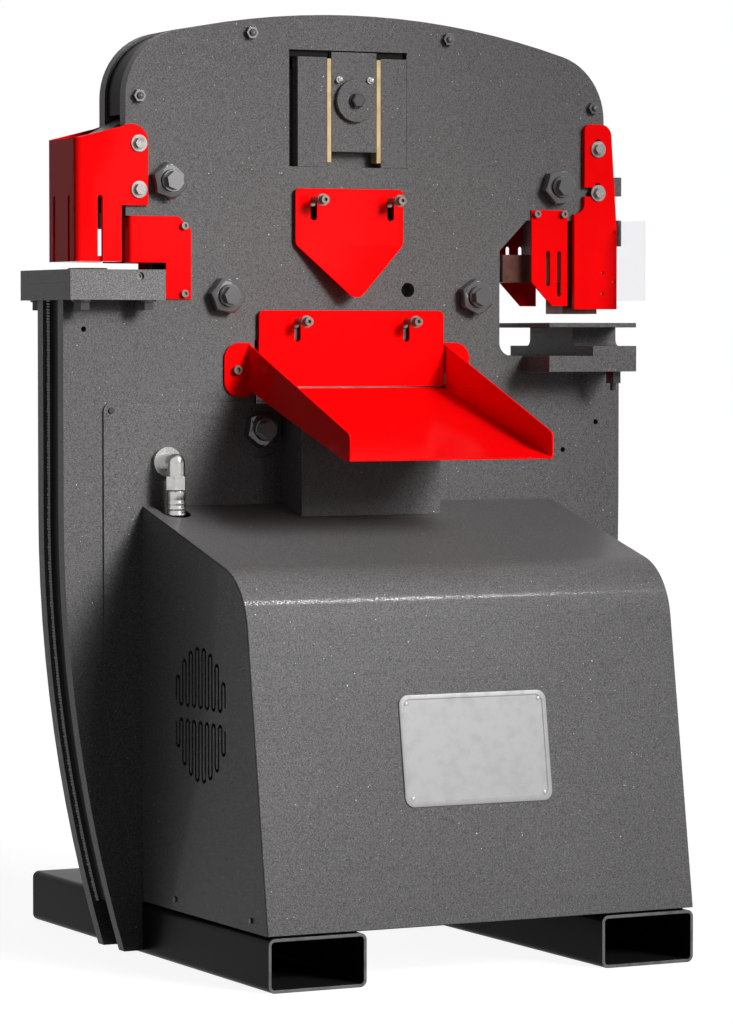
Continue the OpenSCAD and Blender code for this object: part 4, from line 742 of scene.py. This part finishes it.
class SpotTree(RepeatTree):
    """One small shape on each of a list of spots."""

    def __init__(self) -> None:
        """Names the shape's input."""
        super().__init__("spot_fittings", Shape="Object")

    def shape(self) -> None:
        """The shape as it is, on every point."""
        form = self.graph.node("GeometryNodeObjectInfo", None, {"Object": self.value("Shape")}, out="Geometry")
        self.close(self.value("Geometry"), form, {})

    def fit(self, name: str, shape: bmesh.types.BMesh, spots: Sequence[Point], coat: Coat,
            body: str, slot: str) -> bpy.types.Object:
        """Makes the fittings from a shape that stands at the origin.

        Args:
            name: Name of the piece.
            shape: The fitting.
            spots: Where it goes.
            coat: Its finish.
            body: Body it moves with.
            slot: Its material slot; not used.

        Returns:
            The piece.
        """
        pattern = link(f"{name}_pattern", to_mesh(f"{name}_pattern", shape))
        piece = self.run(name, [[spot] for spot in spots], coat, body, slot, Shape=pattern)
        piece.data.set_sharp_from_angle(angle=math.radians(CREASE))
        bpy.data.objects.remove(pattern)
        return piece


@dataclass(frozen=True)
class HexHead:
    """Bolt head with chamfered corners on a washer, pointing to the front from the origin."""

    flats: float
    height: float
    washer_radius: float
    washer_height: float
    washer_sink: float = 0.0002
    washer_shoulder: Pair = (0.97, 0.8)  # shares of the washer's radius and height
    washer_turns: int = 40
    sides: int = 6
    chamfer: Pair = (0.47, 0.22)  # top radius by the flats, drop by the height

    def shape(self) -> bmesh.types.BMesh:
        """Makes the head and the washer.

        Returns:
            Both in one mesh.
        """
        washer, foot = self.washer_radius, self.washer_height
        shape = lathe([(washer, -self.washer_sink), (washer, foot * self.washer_shoulder[1]),
                       (washer * self.washer_shoulder[0], foot)], self.washer_turns, Matrix.Identity(4))
        corner = self.flats / math.sqrt(3.0)
        top = foot + self.height
        rows = [(corner, foot), (corner, top - self.height * self.chamfer[1]), (self.flats * self.chamfer[0], top)]
        skin(shape, [circle(shape, radius, height, self.sides) for radius, height in rows])
        bmesh.ops.transform(shape, matrix=FRONTWARDS, verts=shape.verts)
        return shape


@dataclass
class PlateFrame:
    """Plates, tubes, crown band and webs, with the seams that join them."""

    edge: float = 0.0012
    thin_edge: float = 0.0008
    tubes: tuple[str, str] = ("left_tube", "right_tube")
    saw_depth: float = 0.0004
    bead_pitch: float = 0.0045
    bead_width: float = 0.011
    web_seed: int = 3
    foot_seed: int = 8
    flank_radius: float = 2.25
    flank_height: float = 0.65
    web_recess: float = 0.010
    path_step: float = 0.02
    thread_pitch: float = 0.0025
    thread_wire: float = 0.0011
    thread_sink: float = 0.4  # share of the wire
    thread_ends: Pair = (0.7, 1.8)  # first and last ring, in pitches from the nut
    stud_radius: float = 0.0052
    stud_rise: float = 0.0045
    stud_sink: float = 0.001
    # shares of the stud's radius and rise
    stud_tip: tuple[Pair, ...] = ((1.0, 0.5), (0.86, 0.78), (0.5, 0.96), (0.1, 1.0))
    stud_turns: int = 24

    def dress(self) -> None:
        """Finishes the frame's own pieces."""
        dress(Coat.FRAME, self.edge, "front_plate", "rear_plate")
        for tube in self.tubes:
            low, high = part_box(tube)
            near, far = low.y + self.saw_depth, high.y - self.saw_depth
            Dress(tube, Coat.BLACK, self.thin_edge, second=Coat.CUT_END,
                  picked=lambda at: not near < at.y < far).apply()
        dress(Coat.BLACK, UNROUNDED, "jaw_webs")
        dress(Coat.BLACK, self.thin_edge, "top_band")
        dress(Coat.NUT, self.thin_edge, "tie_nuts")
        dress(Coat.NUT, self.edge, "tie_rods")
        dress(Coat.NUT, self.thin_edge, "band_bolts")

    def flank(self, side: int, depth: float) -> list[Point]:
        """Path of the seam beside one web.

        Args:
            side: -1 for the left web and 1 for the right one.
            depth: Y of the plate's inner face.

        Returns:
            Points from the foot to the top of the web.
        """
        low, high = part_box("jaw_webs")
        top = high.z if side < 0 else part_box("notcher_die")[0].z
        radius = self.flank_radius - self.web_recess
        count = int((top - low.z) / self.path_step)
        heights = [low.z + (top - low.z) * k / count for k in range(count + 1)]
        drops = [min(z - self.flank_height, 0.0) for z in heights]
        return [(side * (math.sqrt(radius ** 2 - drop ** 2) - radius + high.x), depth, z)
                for drop, z in zip(drops, heights)]

    def seams(self, beads: BeadTree) -> None:
        """Lays the seams beside the webs and where the plates stand on the tubes.

        Args:
            beads: The seams' tree.
        """
        front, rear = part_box("front_plate")[1].y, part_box("rear_plate")[0].y
        beads.run("web_seams", [self.flank(side, depth) for side in (-1, 1) for depth in (front, rear)],
                  Coat.SEAM, FIXED, "black_paint",
                  Pitch=self.bead_pitch, Width=self.bead_width, Seed=self.web_seed)
        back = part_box("rear_plate")[1].y
        feet = [[(low.x + self.edge, back, high.z), (high.x - self.edge, back, high.z)]
                for low, high in map(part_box, self.tubes)]
        beads.run("foot_seams", feet, Coat.FRAME, FIXED, "frame_paint",
                  Pitch=self.bead_pitch, Width=self.bead_width, Seed=self.foot_seed)

    def stud_ends(self, spots: SpotTree) -> None:
        """Sets a rounded stud end on each nut of the crown band in front.

        Args:
            spots: The fittings' tree.
        """
        tip = [(self.stud_radius * across, self.stud_rise * up) for across, up in self.stud_tip]
        end = lathe([(self.stud_radius, -self.stud_sink), *tip], self.stud_turns, FRONTWARDS)
        nuts = loose_islands(frame["nodes"]["band_bolts"].data)
        front = min(low.y for low, _ in nuts)
        spots.fit("band_stud_ends", end,
                  [((low.x + high.x) / 2, low.y, (low.z + high.z) / 2) for low, high in nuts
                   if low.y < front + self.edge],
                  Coat.NUT, FIXED, "fastener_paint")

    def threads(self, rings: RingTree) -> None:
        """Cuts threads into the tie rods where they leave their nuts.

        Args:
            rings: The threads' tree.
        """
        front, rear = (corner.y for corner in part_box("tie_nuts"))
        first, last = (self.thread_pitch * share for share in self.thread_ends)
        rods = loose_islands(frame["nodes"]["tie_rods"].data)
        radius = (rods[-1][1].x - rods[-1][0].x) / 2
        paths = []
        for low, high in rods:
            x, z = (low.x + high.x) / 2, (low.z + high.z) / 2
            paths.append([(x, front - first, z), (x, front - last, z)])
            paths.append([(x, rear + first, z), (x, rear + last, z)])
        rings.run("tie_threads", paths, Coat.NUT, FIXED, "fastener_paint", Pitch=self.thread_pitch,
                  Radius=radius - self.thread_wire * self.thread_sink, Wire=self.thread_wire)


@dataclass
class SlideWays:
    """Slide blocks, gibs and cross pin, with the grease nipples and the pin's bolt."""

    edge: float = 0.0009
    gib_edge: float = 0.0006
    pin_edge: float = 0.0016
    nipple_rise: float = 0.031
    nipple_spread: float = 0.0258
    nipple: tuple[Pair, ...] = ((0.0048, -0.001), (0.0048, 0.0026), (0.0032, 0.0032), (0.0032, 0.0058),
                                (0.0041, 0.0072), (0.0041, 0.0088), (0.0022, 0.0108), (0.0008, 0.0114))
    nipple_turns: int = 20
    bolt: HexHead = HexHead(flats=0.019, height=0.007, washer_radius=0.0118, washer_height=0.0025)
    window: Pair = (-0.101, 0.095)
    window_top: float = 1.330
    shade_strip_recess: float = 0.007
    shade_strip_thickness: float = 0.008
    shade_strip_gap: float = 0.0008
    shade_strip_steps: int = 2

    def dress(self) -> None:
        """Finishes the ways and the ram."""
        dress(Coat.FRAME, self.edge, "gib_blocks")
        dress(Coat.BRASS, self.gib_edge, "brass_gibs")
        dress(Coat.FRAME, self.edge, "slide_blocks")
        dress(Coat.FRAME, self.pin_edge, "ram_pin")
        dress(Coat.FRAME, self.edge, "ram_plate")

    def strips(self) -> None:
        """Closes the gaps over the gib blocks with dark strips, set back in both plates' windows; the strips are
        painted shade for the dark inside that would show through the gaps.
        """
        blocks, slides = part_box("gib_blocks"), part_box("slide_blocks")
        shape = bmesh.new()
        spans = ((self.window[0], slides[0].x - self.shade_strip_gap), (slides[1].x + self.shade_strip_gap, self.window[1]))
        faces = (blocks[0].y + self.shade_strip_recess, blocks[1].y - self.shade_strip_recess - self.shade_strip_thickness)
        for first, last in spans:
            for face in faces:
                size = (last - first, self.shade_strip_thickness, self.window_top - blocks[1].z)
                middle = (first + last) / 2, face + size[1] / 2, blocks[1].z + size[2] / 2
                bmesh.ops.create_cube(shape, size=1.0, matrix=Matrix.LocRotScale(middle, None, size))
        bmesh.ops.bevel(shape, geom=shape.edges, offset=self.edge, segments=self.shade_strip_steps,
                        affect="EDGES")
        # painted shade: black strips that stand in for the dark inside seen through the gaps
        new_piece("gib_gap_strips", shape, Coat.BLACK)

    def fittings(self, spots: SpotTree) -> None:
        """Sets the nipples on the front slide block and a bolt in the pin's front cap.

        Args:
            spots: The fittings' tree.
        """
        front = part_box("slide_blocks")[0].y
        low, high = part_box("ram_pin")
        x, z = (low.x + high.x) / 2, (low.z + high.z) / 2
        spots.fit("grease_nipples", lathe(self.nipple, self.nipple_turns, FRONTWARDS),
                  [(x + side * self.nipple_spread, front, z + self.nipple_rise) for side in (-1, 1)],
                  Coat.BRIGHT, MOVING, "machined_steel")
        spots.fit("pin_bolts", self.bolt.shape(), [(x, low.y, z)], Coat.FASTENER, MOVING, "machined_steel")


@dataclass
class PunchStation:
    """Punch, die, table and the guards round them."""

    edge: float = 0.0012
    die_edge: float = 0.0008
    guard_edge: float = 0.0016
    guard_steps: int = 3
    throat_edge: float = 0.0009

    def dress(self) -> None:
        """Finishes the station."""
        dress(Coat.TABLE, self.edge, "punch_table", "punch_bolster")
        dress(Coat.TOOL, self.die_edge, "punch_die")
        dress(Coat.GROUND, UNROUNDED, "punch")
        dress(Coat.MACHINED, self.edge, "punch_holder")
        Dress("punch_guard", Coat.RED, self.guard_edge, self.guard_steps).apply()
        dress(Coat.RED, self.throat_edge, "throat_guards")


@dataclass
class ShearStations:
    """Blades of the angle and flat bar shears, their hanging guards and the tray."""

    edge: float = 0.0011
    fine_edge: float = 0.0006

    def dress(self) -> None:
        """Finishes the stations."""
        dress(Coat.GROUND, self.fine_edge, "lower_shear_blade", "upper_shear_blade", "lower_angle_blade",
              "upper_angle_blade")
        dress(Coat.RED, self.edge, "angle_guard", "shear_guard", "shear_tray")
        dress(Coat.BRONZED, self.fine_edge, "guard_studs")


@dataclass
class NotcherStation:
    """Notcher die, table, punch and guards, and the clear shield at the end."""

    edge: float = 0.0011
    guard_edge: float = 0.0014
    sheet_edge: float = 0.0008
    bead_pitch: float = 0.004
    bead_width: float = 0.008
    bead_seed: int = 5

    def dress(self) -> None:
        """Finishes the station."""
        dress(Coat.FRAME, self.edge, "notcher_table", "notcher_die", "notcher_brackets")
        dress(Coat.TOOL, self.edge, "notch_punch")
        dress(Coat.RED, self.guard_edge, "notcher_guard")
        dress(Coat.RED, self.sheet_edge, "notch_guards")
        dress(Coat.CLEAR, self.sheet_edge, "end_shield")
        # painted highlight: the shield bracket is black, and its paler frame coat paints the glare on it
        dress(Coat.FRAME, self.sheet_edge, "shield_bracket")

    def seams(self, beads: BeadTree) -> None:
        """Welds the brackets to the plates along their undersides.

        Args:
            beads: The seams' tree.
        """
        low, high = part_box("notcher_brackets")
        lines = [[(low.x + self.edge, face, low.z), (high.x - self.edge, face, low.z)]
                 for face in (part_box("front_plate")[0].y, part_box("rear_plate")[1].y)]
        beads.run("bracket_seams", lines, Coat.FRAME, FIXED, "frame_paint",
                  Pitch=self.bead_pitch, Width=self.bead_width, Seed=self.bead_seed)


@dataclass
class PowerUnit:
    """Cover, boxes, panel and hose in front, and the drive inside."""

    edge: float = 0.0011
    panel_edge: float = 0.0008
    screw_edge: float = 0.0006
    bolt_edge: float = 0.0012
    elbow_edge: float = 0.001
    # painted shade: hex bolts below this height get a dark coat for the shadow under the tables
    painted_shade_bolts_below: float = 1.0
    lean: float = 8.8
    plate_width: float = 0.236
    plate_height: float = 0.158
    plate_radius: float = 0.014
    plate_thickness: float = 0.0026
    plate_sink: float = 0.0004
    plate_shoulder: Pair = (0.0009, 0.75)  # chamfer, and its foot as a share of the thickness
    plate_rim: float = 0.006
    rim_slope: float = 0.0012
    plate_field: float = 0.55  # share of the thickness
    plate_centre: Pair = (0.003, 0.322)
    corner_steps: int = 8
    rivet: tuple[Pair, ...] = ((0.0034, -0.0005), (0.0034, 0.0006), (0.0028, 0.0014), (0.0014, 0.0019),
                               (0.0004, 0.002))
    rivet_turns: int = 18
    rivet_inset: float = 0.012
    sleeve_drop: float = 0.038
    sleeve_wall: float = 0.0007
    # shares of the sleeve's radius and drop
    sleeve_foot: tuple[Pair, ...] = ((0.86, 1.0), (1.0, 0.96))
    sleeve_top: tuple[Pair, ...] = ((1.0, 0.06), (0.9, 0.01))
    sleeve_turns: int = 40
    crimps: tuple[float, ...] = (0.8, 0.6, 0.4)  # shares of the drop
    crimp_depth: float = 0.7  # share of the wall
    crimp_halves: Pair = (0.05, 0.03)  # half widths at rim and groove, as shares of the drop

    def dress(self) -> None:
        """Finishes what shows and what stands inside."""
        dress(Coat.FRAME, self.edge, "cover_shell", "front_cylinder_box", "rear_cylinder_box")
        dress(Coat.FRAME, UNROUNDED, "cover_left_side", "cover_right_side")
        dress(Coat.FRAME, self.panel_edge, "access_panel")
        dress(Coat.FASTENER, self.screw_edge, "panel_screws")
        # painted shade: the lower hex bolts, in the shadow under the tables, are coated dark
        Dress("hex_bolts", Coat.ZINC, self.bolt_edge, second=Coat.FASTENER,
              picked=lambda at: at.z < self.painted_shade_bolts_below).apply()
        dress(Coat.BRONZED, self.screw_edge, "socket_screws")
        dress(Coat.BRIGHT, self.elbow_edge, "hose_elbow")
        dress(Coat.RUBBER, self.panel_edge, "hose")
        dress(Coat.CASTING, UNROUNDED, "cylinder_barrel", "motor", "pump")
        dress(Coat.MACHINED, UNROUNDED, "cylinder_gland", "cylinder_pin", "rod_pin", "shaft_coupling")
        dress(Coat.CHROME, UNROUNDED, "piston_rod")
        dress(Coat.BLACK, UNROUNDED, "power_pan", "reservoir", "bell_housing")
        dress(Coat.BRIGHT, UNROUNDED, "valve_block")

    def leaning(self) -> Matrix:
        """Place on the cover's leaning front: X to the right, Y up the slope, Z outwards.

        Returns:
            The place of the plate's middle.
        """
        low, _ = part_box("cover_shell")
        x, z = self.plate_centre
        lean = math.radians(self.lean)
        y = low.y + (z - low.z) * math.tan(lean)
        return Matrix.Translation((x, y, z)) @ Matrix.Rotation(math.radians(90.0) - lean, 4, "X")

    def outline(self, inset: float) -> list[Pair]:
        """Rounded rectangle of the plate.

        Args:
            inset: How far it is drawn in.

        Returns:
            Its points, around from the right.
        """
        radius = self.plate_radius - inset / 2
        half_w, half_h = self.plate_width / 2 - inset - radius, self.plate_height / 2 - inset - radius
        points = []
        for quarter, (sx, sy) in enumerate(((1, 1), (-1, 1), (-1, -1), (1, -1))):
            for k in range(self.corner_steps + 1):
                turn = math.pi / 2 * (quarter + k / self.corner_steps)
                points.append((sx * half_w + radius * math.cos(turn), sy * half_h + radius * math.sin(turn)))
        return points

    def plate(self, spots: SpotTree) -> None:
        """Sets a plain plate with a raised rim on the cover's front, held by four rivets.

        Args:
            spots: The fittings' tree.
        """
        shape = bmesh.new()
        top, field = self.plate_thickness, self.plate_thickness * self.plate_field
        chamfer, shoulder = self.plate_shoulder
        rows = [(0.0, -self.plate_sink), (0.0, top * shoulder), (chamfer, top), (self.plate_rim, top),
                (self.plate_rim + self.rim_slope, field)]
        skin(shape, [[shape.verts.new((x, y, z)) for x, y in self.outline(inset)] for inset, z in rows])
        place = self.leaning()
        bmesh.ops.transform(shape, matrix=place, verts=shape.verts)
        new_piece("bare_front_plate", shape, Coat.PLATE)
        x, y = self.plate_width / 2 - self.rivet_inset, self.plate_height / 2 - self.rivet_inset
        spots.fit("plate_rivets", lathe(self.rivet, self.rivet_turns, place.to_3x3().to_4x4()),
                  [tuple(place @ Vector((sx * x, sy * y, field))) for sx in (-1, 1) for sy in (-1, 1)],
                  Coat.BRIGHT, FIXED, "machined_steel")

    def hose_end(self) -> None:
        """Crimps a bright sleeve on the hose under the elbow's nut."""
        low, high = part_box("hose")
        radius = (high.x - low.x) / 2 + self.sleeve_wall
        groove = (radius - self.sleeve_wall * self.crimp_depth) / radius
        wide, narrow = self.crimp_halves
        rows = list(self.sleeve_foot)
        for share in self.crimps:
            rows += [(1.0, share + wide), (groove, share + narrow), (groove, share - narrow), (1.0, share - wide)]
        rows += self.sleeve_top
        place = Matrix.Translation(((low.x + high.x) / 2, (low.y + high.y) / 2, high.z))
        profile = [(radius * across, -self.sleeve_drop * down) for across, down in rows]
        new_piece("hose_sleeve", lathe(profile, self.sleeve_turns, place), Coat.BRIGHT)


def facing(away: Vector) -> Matrix:
    """Turn of a lamp that shines from a direction."""
    return away.to_track_quat("Z", "Y").to_matrix().to_4x4()


@dataclass(frozen=True)
class Sun:
    """Distant lamp: its strength, how wide it looks in degrees, and the direction that it shines from."""

    name: str
    strength: float
    spread: float
    source: Point

    def hang(self) -> bpy.types.Object:
        """Adds the lamp.

        Returns:
            The lamp's object.
        """
        data = bpy.data.lights.new(self.name, "SUN")
        data.energy = self.strength
        data.angle = math.radians(self.spread)
        made = link(self.name, data)
        made.matrix_world = facing(Vector(self.source))
        return made


@dataclass
class Studio:
    """Camera, light and floor."""

    camera_place: Point = (-2.8624, -5.692, 0.9045)
    camera_yaw: float = 26.9
    camera_pitch: float = 2.35
    camera_reach: float = 200.0
    focal_pixels: float = 4264.0
    image_height: int = 1024
    sensor: float = 36.0
    sky_light: float = 0.08
    key: Sun = Sun("key", 2.8, 26.0, (0.38, -0.8, 0.39))
    back: Sun = Sun("back", 2.6, 40.0, (0.35, 0.93, 0.06))
    spark: Sun = Sun("spark", 0.9, 6.0, (0.445, -0.5, 0.743))
    pool_watts: float = 620.0
    pool_cone: float = 26.0
    pool_radius: float = 0.5
    pool_reach: float = 4.0
    softbox_watts: float = 14.0
    softbox_size: Pair = (1.0, 1.2)
    softbox_place: Point = (0.85, -2.6, 1.6)
    aim: Point = (-0.3, -0.4, 0.75)
    floor_half: float = 60.0
    floor_colour: Colour = (0.2, 0.2, 0.2)
    floor_glow: float = 0.91

    def camera(self) -> None:
        """Puts the camera where the photograph was taken from."""
        data = bpy.data.cameras.new("camera")
        data.sensor_width = self.sensor
        data.lens = self.focal_pixels / self.image_height * self.sensor
        data.clip_end = self.camera_reach
        made = link("camera", data)
        made.matrix_world = (Matrix.Translation(self.camera_place)
                             @ Matrix.Rotation(math.radians(-self.camera_yaw), 4, "Z")
                             @ Matrix.Rotation(math.radians(90.0 - self.camera_pitch), 4, "X"))
        bpy.context.scene.camera = made

    def world(self) -> None:
        """Soft light all round, white where it is seen or mirrored."""
        world = bpy.data.worlds.new("studio")
        bpy.context.scene.world = world
        world.use_nodes = True
        graph = Graph(world.node_tree)
        light, white = (graph.node("ShaderNodeBackground", None, {"Color": WHITE, "Strength": strength})
                        for strength in (self.sky_light, 1.0))
        graph.end("ShaderNodeOutputWorld", "Surface",
                  graph.node("ShaderNodeMixShader", None, {0: graph.seen(), 1: light, 2: white}))

    def pool(self) -> None:
        """Aims a soft spot at the left half of the front, from the key lamp's side."""
        data = bpy.data.lights.new("pool", "SPOT")
        data.energy = self.pool_watts
        data.spot_size = math.radians(self.pool_cone)
        data.spot_blend = 1.0
        data.shadow_soft_size = self.pool_radius
        made = link("pool", data)
        away = Vector(self.key.source).normalized()
        made.matrix_world = Matrix.Translation(Vector(self.aim) + away * self.pool_reach) @ facing(away)
        made.visible_glossy = False

    def softbox(self) -> None:
        """Hangs a softbox at the right, for the sheen that it leaves on the front."""
        data = bpy.data.lights.new("softbox", "AREA")
        data.shape = "RECTANGLE"
        data.size, data.size_y = self.softbox_size
        data.energy = self.softbox_watts
        made = link("softbox", data)
        place = Vector(self.softbox_place)
        made.matrix_world = Matrix.Translation(place) @ facing(place - Vector(self.aim))
        made.visible_diffuse = False
        made.visible_camera = False

    def floor(self) -> None:
        """A plain pale floor, lifted to white where it is seen, with the machine's shadow on it."""
        half = self.floor_half
        mesh = bpy.data.meshes.new("floor")
        mesh.from_pydata([(-half, -half, 0.0), (half, -half, 0.0), (half, half, 0.0), (-half, half, 0.0)], [],
                         [(0, 1, 2, 3)])
        made = link("floor", mesh)
        coat = bpy.data.materials.new("pale_floor")
        coat.use_nodes = True
        graph = Graph(coat.node_tree)
        pale = graph.node("ShaderNodeBsdfDiffuse", None, {"Color": self.floor_colour})
        glow = graph.node("ShaderNodeEmission", None, {"Color": WHITE, "Strength": self.floor_glow})
        white = graph.node("ShaderNodeAddShader", None, {0: pale, 1: glow})
        graph.end("ShaderNodeOutputMaterial", "Surface",
                  graph.node("ShaderNodeMixShader", None, {0: graph.seen(), 1: pale, 2: white}))
        mesh.materials.append(coat)

    def build(self) -> None:
        """Sets up the whole studio."""
        bpy.context.scene.view_settings.view_transform = "Standard"
        self.camera()
        self.world()
        for broad in (self.key.hang(), self.back.hang()):
            broad.visible_glossy = False
            broad.visible_transmission = False
        self.spark.hang().visible_diffuse = False
        self.pool()
        self.softbox()
        self.floor()


def main() -> None:
    """Builds the studio and finishes every part of the machine."""
    logging.basicConfig(level=logging.INFO, format="%(name)s: %(message)s")
    Studio().build()
    beads, rings, spots = BeadTree(), RingTree(), SpotTree()
    plates = PlateFrame()
    plates.dress()
    plates.seams(beads)
    plates.threads(rings)
    plates.stud_ends(spots)
    ways = SlideWays()
    ways.dress()
    ways.strips()
    ways.fittings(spots)
    PunchStation().dress()
    ShearStations().dress()
    notcher = NotcherStation()
    notcher.dress()
    notcher.seams(beads)
    power = PowerUnit()
    power.dress()
    power.plate(spots)
    power.hose_end()


if __name__ == "__main__":
    main()
